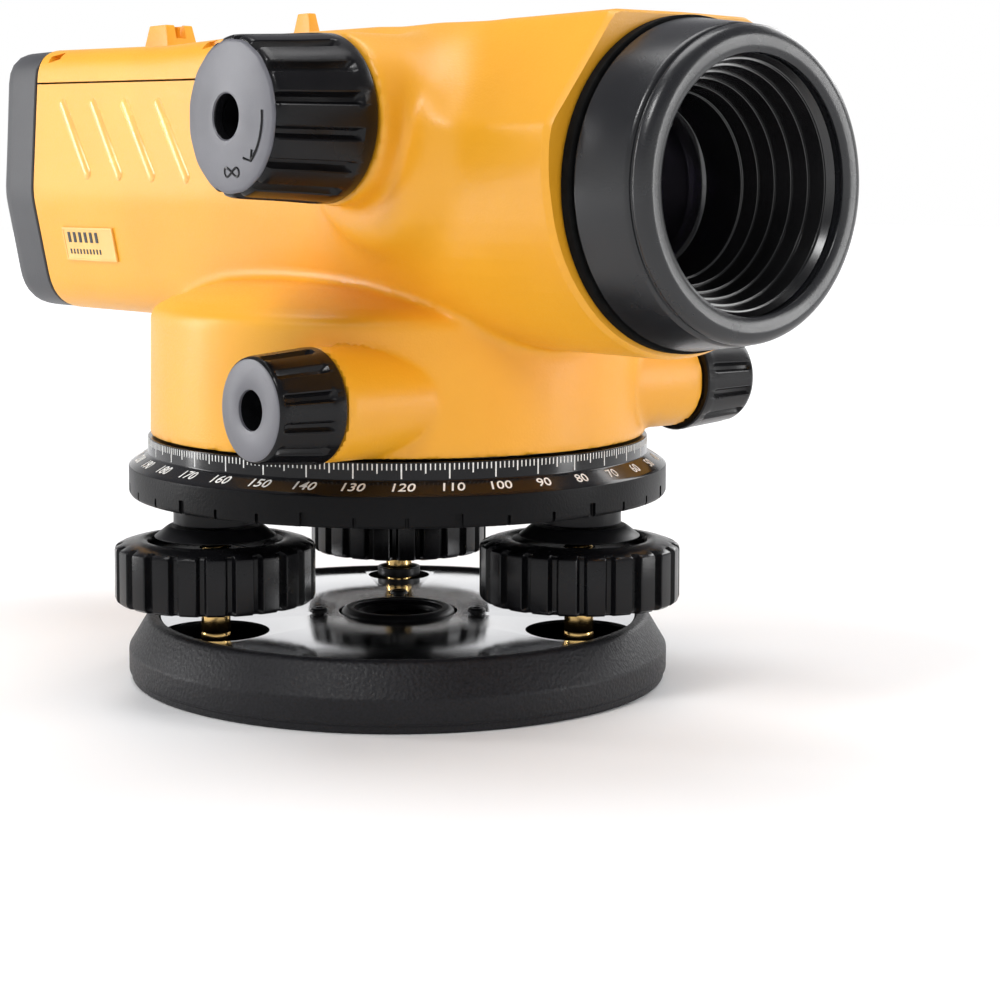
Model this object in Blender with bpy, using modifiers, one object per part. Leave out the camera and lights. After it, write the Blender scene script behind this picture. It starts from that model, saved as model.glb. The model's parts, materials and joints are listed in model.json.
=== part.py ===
"""Automatic level with a domed base, three foot screws, a horizontal circle and a telescope.

Lengths are in millimetres and become metres in each helper. +X is the way the telescope
looks, +Z is up. The standing axis is x = y = 0 of the empty "level", which is offset so
that the world origin is under the middle of the whole instrument.
"""

from math import cos, hypot, pi, radians, sin

import bmesh
import bpy
from mathutils import Matrix, Vector

# ---- driving dimensions, mm -------------------------------------------------------------
OFFSET = (10.5, 1.8, 0.0)  # standing axis from the middle of the overall box
AXIS_Z = 96.65  # sight line above the tripod face
BASE_R, BASE_H = 53.4, 12.5
SCREW_PCR = 40.0  # radius of the circle through the three foot screws
SCREW_ANGLES = (262.0, 22.0, 142.0)
KNOB_R, KNOB_LOW, KNOB_TOP = 19.0, 18.0, 30.0
SPINDLE_R = 2.7
CIRCLE_R = 53.07
NECK_R, NECK_LOW = 48.7, 48.4
HOUSING_REAR, HOUSING_FRONT = -98.0, 79.0
TUBE_R = 24.0  # clear bore of the telescope housing
BEZEL_REAR = -113.5
EYEPIECE_REAR = -117.0
HOOD_REAR, HOOD_FRONT, HOOD_R, MOUTH_R = 81.4, 96.0, 27.7, 21.4
FOCUS_X, FOCUS_Z, FOCUS_ROOT, FOCUS_TIP = 32.6, 108.15, -40.3, -61.6
TANGENT_X, TANGENT_Z = 32.5, 58.4
NEAR_ROOT, NEAR_TIP, FAR_ROOT, FAR_TIP = -43.6, -57.0, 43.7, 58.0
TRIPOD_BORE_R = 7.94
LID_Z, LID_FRONT, LID_FALL = 119.6, -26.0, 1.7
GAP = 0.3

for old in list(bpy.data.objects):
    bpy.data.objects.remove(old, do_unlink=True)

parts = bpy.data.collections.new("automatic_level")
tools = bpy.data.collections.new("cutters")
bpy.context.scene.collection.children.link(parts)
bpy.context.scene.collection.children.link(tools)
tools.hide_render = True

level = bpy.data.objects.new("level", None)
level.location = Vector(OFFSET) / 1000
parts.objects.link(level)

TURN = {"X": Matrix.Rotation(pi / 2, 4, "Y"), "Y": Matrix.Rotation(-pi / 2, 4, "X"), "Z": Matrix()}


def paint(name, colour, roughness, metallic=0.0, alpha=1.0):
    material = bpy.data.materials.new(name)
    material.use_nodes = True
    shader = material.node_tree.nodes["Principled BSDF"]
    shader.inputs["Base Color"].default_value = (*colour, 1.0)
    shader.inputs["Roughness"].default_value = roughness
    shader.inputs["Metallic"].default_value = metallic
    shader.inputs["Alpha"].default_value = alpha
    return material


YELLOW = ((0.86, 0.42, 0.045), 0.42)
GREY = ((0.045, 0.048, 0.052), 0.4)
BLACK = ((0.016, 0.016, 0.018), 0.45)
RUBBER = ((0.012, 0.012, 0.012), 0.8)
BRASS = ((0.62, 0.42, 0.16), 0.28, 1.0)
STEEL = ((0.60, 0.61, 0.62), 0.3, 1.0)
MIRROR = ((0.82, 0.83, 0.84), 0.08, 1.0)
GLASS = ((0.75, 0.86, 0.84), 0.03, 0.0, 0.35)
CAST = ((0.022, 0.023, 0.026), 0.6)


def add(name, mesh, look, at=(0, 0, 0), axis="Z", helper=False):
    body = bpy.data.objects.new(name, mesh)
    (tools if helper else parts).objects.link(body)
    body.parent = level
    body.matrix_local = Matrix.Translation(Vector(at) / 1000) @ TURN[axis]
    if helper:
        body.hide_render = True
        body.display_type = "WIRE"
    else:
        mesh.materials.append(paint(name, *look))
        mesh.shade_smooth()
        mesh.set_sharp_from_angle(angle=radians(35))
    return body


def rings_mesh(name, rings, loop=False):
    """A closed skin over rings of equally many points, capped at both ends or joined in a loop."""
    mesh = bpy.data.meshes.new(name)
    bm = bmesh.new()
    rows = [[bm.verts.new(Vector(point) / 1000) for point in ring] for ring in rings]
    n = len(rows[0])
    for i in range(len(rows) if loop else len(rows) - 1):
        low, high = rows[i], rows[(i + 1) % len(rows)]
        for k in range(n):
            bm.faces.new((low[k], low[(k + 1) % n], high[(k + 1) % n], high[k]))
    if not loop:
        bm.faces.new(rows[0][::-1])
        bm.faces.new(rows[-1])
    bmesh.ops.recalc_face_normals(bm, faces=bm.faces)
    bm.to_mesh(mesh)
    bm.free()
    return mesh


def lathe(name, profile, look=None, at=(0, 0, 0), axis="Z", steps=40, helper=False):
    """A profile of (radius, height) points, open on the axis or closed off it, turned by a Screw."""
    loop = profile[0][0] > 0
    area = sum(
        a[0] * b[1] - b[0] * a[1] for a, b in zip(profile, profile[1:] + profile[:1])
    )
    if area > 0:
        profile = profile[::-1]
    mesh = bpy.data.meshes.new(name)
    edges = [(i, i + 1) for i in range(len(profile) - 1)]
    if loop:
        edges.append((len(profile) - 1, 0))
    mesh.from_pydata([(r / 1000, 0, z / 1000) for r, z in profile], edges, [])
    body = add(name, mesh, look, at, axis, helper)
    screw = body.modifiers.new("turn", "SCREW")
    screw.axis = "Z"
    screw.steps = screw.render_steps = steps
    screw.use_merge_vertices = True
    screw.merge_threshold = 0.00001
    return body


def block(name, low, high, look=None, helper=False, bevel=0.0, axis="Z"):
    """A box between two corners; its origin is its own centre."""
    mesh = bpy.data.meshes.new(name)
    bm = bmesh.new()
    bmesh.ops.create_cube(bm, size=1.0)
    size = [(b - a) / 1000 for a, b in zip(low, high)]
    bmesh.ops.scale(bm, vec=size, verts=bm.verts)
    bm.to_mesh(mesh)
    bm.free()
    body = add(name, mesh, look, [(a + b) / 2 for a, b in zip(low, high)], axis, helper)
    if bevel:
        soften(body, bevel)
    return body


def soften(body, width, segments=1, angle=40):
    bevel = body.modifiers.new("bevel", "BEVEL")
    bevel.width = width / 1000
    bevel.segments = segments
    bevel.limit_method = "ANGLE"
    bevel.angle_limit = radians(angle)
    return bevel


def combine(body, other, operation):
    boolean = body.modifiers.new(operation.lower(), "BOOLEAN")
    boolean.object = other
    boolean.operation = operation
    boolean.solver = "EXACT"
    return boolean


def rod(name, radius, start, end, at, axis, steps=24):
    return lathe(name, [(0, start), (radius, start), (radius, end), (0, end)], None, at, axis, steps, True)


def fluted(name, look, at, axis, stations, bore, flutes, columns, depth, flat, face_hole=None):
    """A grip turned from (height, radius, groove share) stations, with a bore down its axis."""
    n = flutes * columns
    angles = [2 * pi * k / n for k in range(n)]

    def ring(radius, height, share):
        out = []
        for k, angle in enumerate(angles):
            cut = depth * share if (k % columns) >= flat else 0.0
            out.append(((radius - cut) * cos(angle), (radius - cut) * sin(angle), height))
        return out

    rings = [ring(radius, height, share) for height, radius, share in stations]
    for radius, height in bore:
        rings.append(ring(radius, height, 0.0))
    return add(name, rings_mesh(name, rings, loop=True), look, at, axis)


def polar(angle, radius=SCREW_PCR):
    return radius * cos(radians(angle)), radius * sin(radians(angle))


feet = [polar(angle) for angle in SCREW_ANGLES]

# ---- base: casting, spring plate and tripod hub -----------------------------------------
base = lathe(
    "base_plate",
    [(47.6, BASE_H), (49.3, BASE_H), (52.9, 7.0), (BASE_R, 6.4), (BASE_R, 0.5), (52.9, 0.0),
     (24.0, 0.0), (24.0, 2.0), (12.3, 2.0), (12.3, 6.9), (47.6, 6.9)],
    CAST, steps=40,
)
spring = lathe("spring_plate", [(11.8, 12.0), (47.2, 12.0), (47.2, 11.4), (11.8, 11.4)], MIRROR, steps=36)
for number, ((x, y), radius) in enumerate(zip(feet, (10.2, 10.2, 6.6)), 1):
    combine(spring, rod(f"foot_hole_{number}", radius, 9.0, 14.0, (x, y, 0), "Z", 20), "DIFFERENCE")
lathe(
    "tripod_hub",
    [(TRIPOD_BORE_R + 0.5, 12.8), (10.2, 12.8), (11.1, 12.3), (11.4, 11.6), (11.4, 1.7),
     (17.0, 1.7), (17.0, 0.4), (TRIPOD_BORE_R, 0.4), (TRIPOD_BORE_R, 12.3)],
    BLACK, steps=32,
)
for number, angle in enumerate((39.6, 141.5, 243.4), 1):
    x, y = polar(angle, 16.0)
    post = rod(f"post_{number}", 3.0, 6.0, 11.1, (x, y, 0), "Z", 16)
    combine(base, post, "UNION")
    combine(base, rod(f"post_hole_{number}", 1.4, 4.0, 12.0, (x, y, 0), "Z", 12), "DIFFERENCE")
    combine(spring, rod(f"plate_hole_{number}", 1.4, 9.0, 14.0, (x, y, 0), "Z", 12), "DIFFERENCE")
    lathe(
        f"plate_screw_{number}",
        [(0, 13.1), (1.4, 13.1), (1.8, 12.8), (1.8, 12.3), (1.1, 12.3), (1.1, 4.6), (0, 4.6)],
        BLACK, (x, y, 0), "Z", 10,
    )
for number, ((x, y), low, high) in enumerate(zip(feet, (7.2, 7.2, 12.05), (9.0, 9.0, 14.0)), 1):
    lathe(
        f"foot_keeper_{number}",
        [(4.0, high), (5.6, high), (5.6, low), (4.0, low)],
        BLACK, (x, y, 0), "Z", 16,
    )

# ---- levelling head and foot screws -----------------------------------------------------
head = lathe(
    "levelling_head",
    [(8.3, 46.0), (18.0, 46.0), (20.0, 44.5), (20.0, 36.4), (43.4, 36.4), (43.4, 38.4),
     (44.2, 38.4), (44.2, 36.4), (46.6, 36.4), (46.6, 35.7), (40.0, 35.4), (28.0, 33.2),
     (18.0, 32.8), (8.3, 32.8)],
    BLACK, steps=32,
)
for number, (x, y) in enumerate(feet, 1):
    combine(head, rod(f"boss_{number}", 7.9, 32.8, 36.0, (x, y, 0), "Z", 16), "UNION")
for number, (x, y) in enumerate(feet, 1):
    combine(head, rod(f"boss_hole_{number}", 3.05, 30.0, 40.0, (x, y, 0), "Z", 12), "DIFFERENCE")
    lathe(
        f"screw_collar_{number}",
        [(3.1, 32.5), (9.0, 32.5), (11.5, 30.3), (3.1, 30.3)],
        BLACK, (x, y, 0), "Z", 20,
    )
    lathe(
        f"foot_screw_{number}",
        [(0, 36.0), (SPINDLE_R, 36.0), (SPINDLE_R, 12.4), (2.95, 11.0), (2.6, 9.8), (1.6, 9.0), (0, 8.7)],
        BRASS, (x, y, 0), "Z", 16,
    )
    fluted(
        f"levelling_knob_{number}", BLACK, (x, y, 0), "Z",
        [(KNOB_LOW, KNOB_R - 0.7, 0.8), (KNOB_LOW + 0.6, KNOB_R, 1), (28.4, KNOB_R, 1),
         (29.5, KNOB_R - 0.9, 0.6), (KNOB_TOP, KNOB_R - 2.6, 0)],
        [(13.4, KNOB_TOP), (12.6, 28.3), (3.05, 28.3), (3.05, KNOB_LOW)],
        18, 3, 1.5, 2,
    )
lathe(
    "centre_spindle",
    [(0, 64.0), (6.0, 64.0), (7.0, 63.0), (7.0, 52.6), (8.0, 52.6), (8.0, 32.2), (0, 32.2)],
    STEEL, steps=32,
)

# ---- horizontal circle ------------------------------------------------------------------
circle = lathe(
    "horizontal_circle",
    [(44.6, 48.0), (49.3, 48.0), (49.3, 44.7), (52.6, 42.7), (CIRCLE_R, 42.3),
     (CIRCLE_R, 36.7), (44.6, 36.7)],
    BLACK, steps=48,
)
notches = bmesh.new()
for number in range(24):
    turn = Matrix.Rotation(radians(15 * number), 4, "Z")
    place = turn @ Matrix.Translation((0.0532, 0, 0.0365)) @ Matrix.Diagonal((0.0024, 0.0030, 0.0030, 1))
    bmesh.ops.create_cube(notches, size=1.0, matrix=place)
notch_mesh = bpy.data.meshes.new("notches")
notches.to_mesh(notch_mesh)
notches.free()
combine(circle, add("notches", notch_mesh, None, helper=True), "DIFFERENCE")

# ---- worm wheel and tangent drive -------------------------------------------------------
TEETH = 60


def wheel_ring(height, tip):
    out = []
    for k in range(TEETH * 2):
        radius = tip if k % 2 else tip - 1.0
        out.append((radius * cos(pi * k / TEETH), radius * sin(pi * k / TEETH), height))
    return out


wheel = add("worm_wheel", rings_mesh("worm_wheel", [wheel_ring(56.6, 29.6), wheel_ring(60.2, 29.6)]), BRASS)
combine(wheel, rod("wheel_hub", 12.0, 54.6, 62.0, (0, 0, 0), "Z", 24), "UNION")
combine(wheel, rod("wheel_bore", 7.4, 50.0, 70.0, (0, 0, 0), "Z", 24), "DIFFERENCE")
lathe(
    "tangent_shaft",
    [(0, -51.0), (2.4, -51.0), (2.4, -6.0), (2.5, -5.4), (2.5, 5.4), (2.4, 6.0), (2.4, 51.5), (0, 51.5)],
    STEEL, (TANGENT_X, 0, TANGENT_Z), "Y", 20,
)


def tangent_knob(name, root, tip):
    way = 1 if tip > root else -1
    length = abs(tip - root)

    def at(distance):
        return root + way * distance

    fluted(
        name, BLACK, (TANGENT_X, 0, TANGENT_Z), "Y",
        [(at(0), 9.95, 0), (at(2.4), 9.85, 0), (at(2.9), 9.8, 1), (at(length - 0.8), 8.9, 1),
         (at(length), 8.2, 0)],
        [(3.5, at(length)), (3.5, at(length - 5.0)), (2.7, at(length - 5.0)), (2.7, at(0))],
        12, 3, 0.8, 2,
    )


tangent_knob("tangent_knob_near", NEAR_ROOT, NEAR_TIP)
tangent_knob("tangent_knob_far", FAR_ROOT, FAR_TIP)

# ---- telescope housing ------------------------------------------------------------------
SECTION = 36  # points round a section


def section_rear(grow=0.0):
    """Half outline, top centre to bottom centre, as (side, height above the sight line)."""
    half = [(0, 30.6), (21.4, 30.6), (24.9, 28.9), (26.4, 25.4), (27.7, -1.6), (23.5, -22.1),
            (20.9, -26.1), (16.8, -27.7), (0, -27.7)]
    return [(side + grow if side else 0, height + (grow if height > 0 else -grow)) for side, height in half]


def section_front():
    curve = [(31 * sin(radians(a)), 31 * cos(radians(a))) for a in range(75, 181, 15)]
    return [(0, 29.4), (16.0, 29.0), (30.0, 9.0)] + curve[:-1] + [(0, -31.0)]


def reach(outline, angle):
    """How far the outline is from the sight line in one direction, angle from straight up."""
    way = (sin(angle), cos(angle))
    for (ax, ay), (bx, by) in zip(outline, outline[1:]):
        dx, dy = bx - ax, by - ay
        det = way[0] * -dy + dx * way[1]
        if abs(det) < 1e-9:
            continue
        t = (ax * -dy + dx * ay) / det
        s = (way[0] * ay - way[1] * ax) / det
        if t > 0 and -1e-6 <= s <= 1 + 1e-6:
            return t
    return hypot(*outline[-1])


def section_ring(x, blend, scale=1.0, grow=0.0):
    """One ring of the housing at x: blend 0 is the rear outline and 1 the front one."""
    rear, front, ring = section_rear(grow), section_front(), []
    for k in range(SECTION):
        angle = 2 * pi * k / SECTION
        side = 1 if angle <= pi else -1
        fold = angle if side > 0 else 2 * pi - angle
        radius = ((1 - blend) * reach(rear, fold) + blend * reach(front, fold)) * scale
        ring.append((x, side * radius * sin(fold), AXIS_Z + radius * cos(fold)))
    return ring


def housing_rings():
    return [
        section_ring(HOUSING_REAR, 0.0), section_ring(-40.0, 0.0), section_ring(10.0, 0.12),
        section_ring(40.0, 0.45), section_ring(62.0, 0.85), section_ring(74.0, 1.0),
        section_ring(78.0, 1.0), section_ring(HOUSING_FRONT, 1.0, 0.97),
    ]


def above_seam(name, start, end, lift):
    """The space over the lid seam, which falls towards the front."""
    rings = []
    for x in (start, end):
        z = LID_Z + lift - LID_FALL * (x - HOUSING_REAR) / (LID_FRONT - HOUSING_REAR)
        rings.append([(x, -40, z), (x, 40, z), (x, 40, 140), (x, -40, 140)])
    return add(name, rings_mesh(name, rings), None, helper=True)


housing = add("main_housing", rings_mesh("main_housing", housing_rings()), YELLOW)
neck = lathe(
    "neck_form",
    [(0, 80.0), (18.0, 79.7), (26.0, 78.7), (34.0, 77.8), (40.0, 76.3), (44.4, 74.5), (46.8, 72.9),
     (48.1, 71.0), (NECK_R, 68.0), (NECK_R, 49.2), (48.0, NECK_LOW), (0, NECK_LOW)],
    steps=44, helper=True,
)
combine(housing, neck, "UNION")
for name, root, end in (("near_fairing", -43.2, -20.0), ("far_fairing", 20.0, 43.3)):
    combine(housing, rod(name, 9.8, root, end, (TANGENT_X, 0, TANGENT_Z), "Y", 32), "UNION")
combine(housing, rod("focus_boss", 15.3, -39.9, -10.0, (FOCUS_X, 0, FOCUS_Z), "Y", 40), "UNION")
tube_bore = rod("tube_bore", TUBE_R, HOUSING_REAR - 2, HOUSING_FRONT + 2, (0, 0, AXIS_Z), "X", 32)
combine(housing, tube_bore, "DIFFERENCE")
combine(housing, rod("neck_bore", 44.5, 40.0, 66.6, (0, 0, 0), "Z", 40), "DIFFERENCE")
combine(housing, rod("tangent_bore", 3.0, -60.0, 60.0, (TANGENT_X, 0, TANGENT_Z), "Y", 20), "DIFFERENCE")
combine(housing, rod("focus_bore", 3.0, -60.0, -10.0, (FOCUS_X, 0, FOCUS_Z), "Y", 20), "DIFFERENCE")
combine(housing, above_seam("lid_room", HOUSING_REAR - 3, LID_FRONT, 0.0), "DIFFERENCE")

lid = add("rear_lid", rings_mesh("rear_lid", housing_rings()[:3]), YELLOW)
lid_form = above_seam("lid_form", HOUSING_REAR + 0.01, LID_FRONT - GAP, GAP)
combine(lid, lid_form, "INTERSECT")
combine(lid, tube_bore, "DIFFERENCE")

lathe("neck_floor", [(14.4, 51.2), (44.0, 51.2), (44.0, 49.0), (14.4, 49.0)], BLACK, steps=40)
lathe("pivot_bush", [(8.3, 52.2), (14.0, 52.2), (14.0, 47.0), (8.3, 47.0)], BRASS, steps=32)

# ---- rear bezel and eyepiece ------------------------------------------------------------
bezel = add(
    "rear_bezel",
    rings_mesh(
        "rear_bezel",
        [section_ring(-99.2, 0.0, 0.995), section_ring(-111.0, 0.0, 0.99), section_ring(-112.9, 0.0, 0.955),
         section_ring(BEZEL_REAR, 0.0, 0.90)],
    ),
    GREY,
)
combine(bezel, rod("eyepiece_hole", 15.2, -120.0, -90.0, (0, 0, AXIS_Z), "X", 32), "DIFFERENCE")
gasket = add(
    "bezel_gasket",
    rings_mesh("bezel_gasket", [section_ring(-98.9, 0.0, 0.95), section_ring(-98.3, 0.0, 0.95)]),
    RUBBER,
)
combine(gasket, rod("gasket_hole", 18.0, -120.0, -90.0, (0, 0, AXIS_Z), "X", 32), "DIFFERENCE")
fluted(
    "eyepiece_ring", BLACK, (0, 0, AXIS_Z), "X",
    [(-107.0, 13.6, 0), (-107.4, 14.4, 0), (-111.6, 14.4, 0), (-112.0, 14.4, 1), (-116.2, 13.6, 1),
     (EYEPIECE_REAR, 12.8, 0)],
    [(10.8, EYEPIECE_REAR), (9.4, -115.6), (9.4, -107.0)],
    12, 3, 0.7, 2,
)
lathe(
    "eyepiece_barrel",
    [(6.4, -114.9), (9.0, -114.9), (9.0, -86.0), (7.0, -86.0), (7.0, -113.0), (6.4, -113.4)],
    BLACK, (0, 0, AXIS_Z), "X", 32,
)
lathe(
    "eyepiece_lens",
    [(0, -113.2), (4.0, -112.8), (6.6, -111.6), (6.6, -108.4), (0, -107.4)],
    GLASS, (0, 0, AXIS_Z), "X", 24,
)
lathe(
    "reticle_cell",
    [(0, -80.0), (23.6, -80.0), (23.6, -74.0), (0, -74.0)],
    BLACK, (0, 0, AXIS_Z), "X", 32,
)
reticle = parts.objects["reticle_cell"]
combine(reticle, rod("reticle_hole", 6.0, -90.0, -70.0, (0, 0, AXIS_Z), "X", 24), "DIFFERENCE")

# ---- compensator ------------------------------------------------------------------------
frame = block("compensator_frame", (-60, -15.6, 79.4), (-20, 15.6, 113.6), STEEL)
combine(frame, block("frame_tunnel", (-70, -13.4, 81.6), (-10, 13.4, 111.4), helper=True), "DIFFERENCE")
block("pendulum_arm", (-46, -9, 92.0), (-34, 9, 110.6), BRASS, bevel=1.0)
pendulum = parts.objects["pendulum_arm"]
combine(pendulum, block("arm_window", (-50, -6, 94.0), (-30, 6, 102.0), helper=True), "DIFFERENCE")
block("pendulum_prism", (-45, -7.5, 86.4), (-35, 7.5, 91.7), GLASS, bevel=0.8)
block("damping_magnet", (-47, -10, 81.9), (-33, 10, 85.4), STEEL, bevel=0.6)

# ---- focusing drive ---------------------------------------------------------------------
fluted(
    "focus_knob", BLACK, (FOCUS_X, 0, FOCUS_Z), "Y",
    [(FOCUS_ROOT, 14.0, 0), (FOCUS_ROOT - 0.6, 14.7, 0), (FOCUS_ROOT - 3.2, 14.6, 0),
     (FOCUS_ROOT - 3.9, 14.5, 1), (FOCUS_TIP + 2.3, 13.7, 1), (FOCUS_TIP + 1.4, 13.2, 0.5)],
    [(12.2, FOCUS_TIP + 1.4), (12.2, FOCUS_TIP + 2.1), (3.75, FOCUS_TIP + 2.1), (3.75, -52.0),
     (2.7, -52.0), (2.7, FOCUS_ROOT)],
    15, 3, 1.1, 2,
)
lathe(
    "focus_knob_cap",
    [(3.75, FOCUS_TIP), (4.3, FOCUS_TIP), (11.3, FOCUS_TIP + 0.9), (11.9, FOCUS_TIP + 1.2),
     (11.9, FOCUS_TIP + 1.8), (3.75, FOCUS_TIP + 1.8)],
    GREY, (FOCUS_X, 0, FOCUS_Z), "Y", 28,
)
lathe(
    "focus_shaft",
    [(0, -51.0), (2.4, -51.0), (2.4, -12.0), (2.2, -11.0), (2.2, -2.0), (0, -2.0)],
    STEEL, (FOCUS_X, 0, FOCUS_Z), "Y", 20,
)
cell = lathe(
    "focus_cell",
    [(6.8, -14.0), (8.6, -14.0), (8.6, 10.0), (6.8, 10.0)],
    BLACK, (FOCUS_X, 0, AXIS_Z), "X", 32,
)
combine(
    cell,
    block("rack", (FOCUS_X - 13, -6.5, AXIS_Z + 4.9), (FOCUS_X + 9.4, -3.5, AXIS_Z + 9.0), helper=True),
    "UNION",
)
combine(cell, rod("cell_bore", 6.7, 0, 70, (0, 0, AXIS_Z), "X", 32), "DIFFERENCE")
lathe(
    "focus_lens",
    [(0, -0.9), (6.4, -2.4), (6.4, 2.4), (0, 0.9)],
    GLASS, (FOCUS_X, 0, AXIS_Z), "X", 24,
)

# ---- objective --------------------------------------------------------------------------
lathe(
    "hood_gasket",
    [(TUBE_R + 0.2, 79.4), (28.7, 79.4), (28.7, 81.1), (TUBE_R + 0.2, 81.1)],
    RUBBER, (0, 0, AXIS_Z), "X", 28,
)
lathe(
    "objective_hood",
    [(21.9, HOOD_REAR), (26.9, HOOD_REAR), (HOOD_R, HOOD_REAR + 0.8), (26.5, 92.6), (25.8, 92.9),
     (25.8, 93.5), (26.2, 93.8), (25.8, 94.8), (25.1, 95.6), (24.2, HOOD_FRONT), (22.2, 95.8),
     (MOUTH_R, 95.2), (21.9, 94.0)],
    GREY, (0, 0, AXIS_Z), "X", 32,
)
STEPS = 6
outer = [(21.6, 93.4), (21.6, 58.6)]
inner = []
for number in range(STEPS):
    radius, front = 20.9 - 0.95 * number, 93.4 - 2.95 * number
    inner += [(radius, front), (radius - 0.45, front - 2.95)]
inner += [(14.8, 64.4)]
lathe(
    "hood_baffle", outer + [(14.8, 58.6)] + inner[::-1], BLACK, (0, 0, AXIS_Z), "X", 24,
)
lathe(
    "objective_cell",
    [(17.2, 49.0), (23.6, 49.0), (23.6, 58.2), (17.2, 58.2)],
    BLACK, (0, 0, AXIS_Z), "X", 40,
)
lathe(
    "objective_lens",
    [(0, 50.6), (16.8, 52.0), (16.8, 55.6), (10.0, 57.3), (0, 58.0)],
    GLASS, (0, 0, AXIS_Z), "X", 40,
)

# ---- sights, label and circular level ---------------------------------------------------
TOP_Z = AXIS_Z + 30.6


def sight(name, x, length, width, height):
    """A tapered block on the lid."""
    rings = []
    for z, inset in ((TOP_Z + GAP, 0.0), (TOP_Z + height, 1.0)):
        far, side = length / 2 - inset, width / 2 - inset * 0.5
        rings.append([(x - far, -side, z), (x + far, -side, z), (x + far, side, z), (x - far, side, z)])
    return add(name, rings_mesh(name, rings), YELLOW)


rear_sight = sight("rear_sight", -83.5, 8.9, 8.0, 5.3)
sight_notch = block("sight_notch", (-95, -1.2, TOP_Z + 2.6), (-70, 1.2, TOP_Z + 9), helper=True)
combine(rear_sight, sight_notch, "DIFFERENCE")
sight("front_sight", -30.6, 5.9, 2.6, 4.8)

tilt = radians(11.6)
label = block("label_plate", (-10.8, -0.25, -3.8), (10.8, 0.25, 3.8), STEEL)
label.matrix_local = Matrix.Translation((-0.0756, -0.0261, 0.084)) @ Matrix.Rotation(tilt, 4, "X")

VIAL_X, VIAL_Y = -4.0, 43.0
holder = lathe(
    "vial_holder",
    [(8.6, 84.0), (0.0, 84.0), (0.0, 81.6), (11.0, 81.6), (12.0, 82.6), (12.0, 89.4), (11.6, 90.0),
     (8.6, 90.0)],
    BLACK, (VIAL_X, VIAL_Y, 0), "Z", 32,
)
combine(holder, block("vial_arm", (VIAL_X - 6, 28.3, 82.4), (VIAL_X + 6, 33.6, 86.6), helper=True), "UNION")
lathe(
    "circular_vial",
    [(0, 89.6), (5.0, 89.4), (8.2, 88.6), (8.2, 84.4), (0, 84.4)],
    GLASS, (VIAL_X, VIAL_Y, 0), "Z", 28,
)
for number, angle in enumerate((60.0, 180.0, 300.0), 1):
    x, y = polar(angle, 8.4)
    lathe(
        f"vial_screw_{number}",
        [(0, 78.6), (1.4, 78.6), (1.8, 79.0), (1.8, 81.3), (0, 81.3)],
        BRASS, (VIAL_X + x, VIAL_Y + y, 0), "Z", 12,
    )
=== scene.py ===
"""Looks of the automatic level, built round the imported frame.

Lengths inside this script are in millimetres and become metres where a mesh is made.
Housing coordinates are measured from the standing axis: x along the telescope, y to the
left of it and z up from the tripod face.
"""

import json
from math import atan2, cos, hypot, pi, radians, sin

import bmesh
import bpy
import numpy as np
from mathutils import Matrix, Vector


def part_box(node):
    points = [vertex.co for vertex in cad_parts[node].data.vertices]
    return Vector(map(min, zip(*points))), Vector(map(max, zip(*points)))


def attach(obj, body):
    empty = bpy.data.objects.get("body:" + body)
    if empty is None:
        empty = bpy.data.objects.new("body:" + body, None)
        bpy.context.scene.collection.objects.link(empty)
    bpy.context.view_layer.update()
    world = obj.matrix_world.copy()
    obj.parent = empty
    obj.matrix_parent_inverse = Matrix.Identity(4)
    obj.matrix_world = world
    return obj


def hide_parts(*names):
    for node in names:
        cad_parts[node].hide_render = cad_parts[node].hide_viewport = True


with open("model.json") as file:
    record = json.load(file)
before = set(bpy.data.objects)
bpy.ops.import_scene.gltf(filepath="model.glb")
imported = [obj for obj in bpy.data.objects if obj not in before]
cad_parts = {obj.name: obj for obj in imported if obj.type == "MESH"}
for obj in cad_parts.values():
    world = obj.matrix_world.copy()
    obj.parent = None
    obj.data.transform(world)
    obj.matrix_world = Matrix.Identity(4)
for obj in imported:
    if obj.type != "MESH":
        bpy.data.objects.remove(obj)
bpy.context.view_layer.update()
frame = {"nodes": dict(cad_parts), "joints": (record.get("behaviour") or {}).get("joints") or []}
MM = 0.001
JOINTS = {joint["name"]: joint for joint in frame["joints"]}


def joint_point(name):
    return Vector(JOINTS[name]["pos_m"]) / MM


def span(node, axis):
    """Lowest and highest coordinate of a node along one axis, in mm."""
    low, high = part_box(node)
    return low[axis] / MM, high[axis] / MM


STAND = joint_point("coarse_turn")
STAND.z = 0.0
AXIS_Z = joint_point("eyepiece_turn").z
FOCUS = joint_point("focus_turn") - STAND
TANGENT = joint_point("tangent_turn") - STAND
FEET = [(joint_point(f"knob_{n}_turn") - STAND).xy for n in (1, 2, 3)]
TURN = {"X": Matrix.Rotation(pi / 2, 4, "Y"), "Y": Matrix.Rotation(-pi / 2, 4, "X"), "Z": Matrix()}


# Materials
def material(name, colour, rough, metallic=0.0, **sockets):
    made = bpy.data.materials.new(name)
    made.use_nodes = True
    shader = made.node_tree.nodes["Principled BSDF"]
    shader.inputs["Base Color"].default_value = (*colour, 1)
    shader.inputs["Roughness"].default_value = rough
    shader.inputs["Metallic"].default_value = metallic
    for key, value in sockets.items():
        shader.inputs[key.replace("_", " ")].default_value = value
    return made


def coordinates(nodes, links, stretch=(1, 1, 1)):
    place = nodes.new("ShaderNodeTexCoord")
    mapping = nodes.new("ShaderNodeMapping")
    mapping.inputs["Scale"].default_value = stretch
    links.new(place.outputs["Object"], mapping.inputs["Vector"])
    return mapping.outputs["Vector"]


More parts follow.
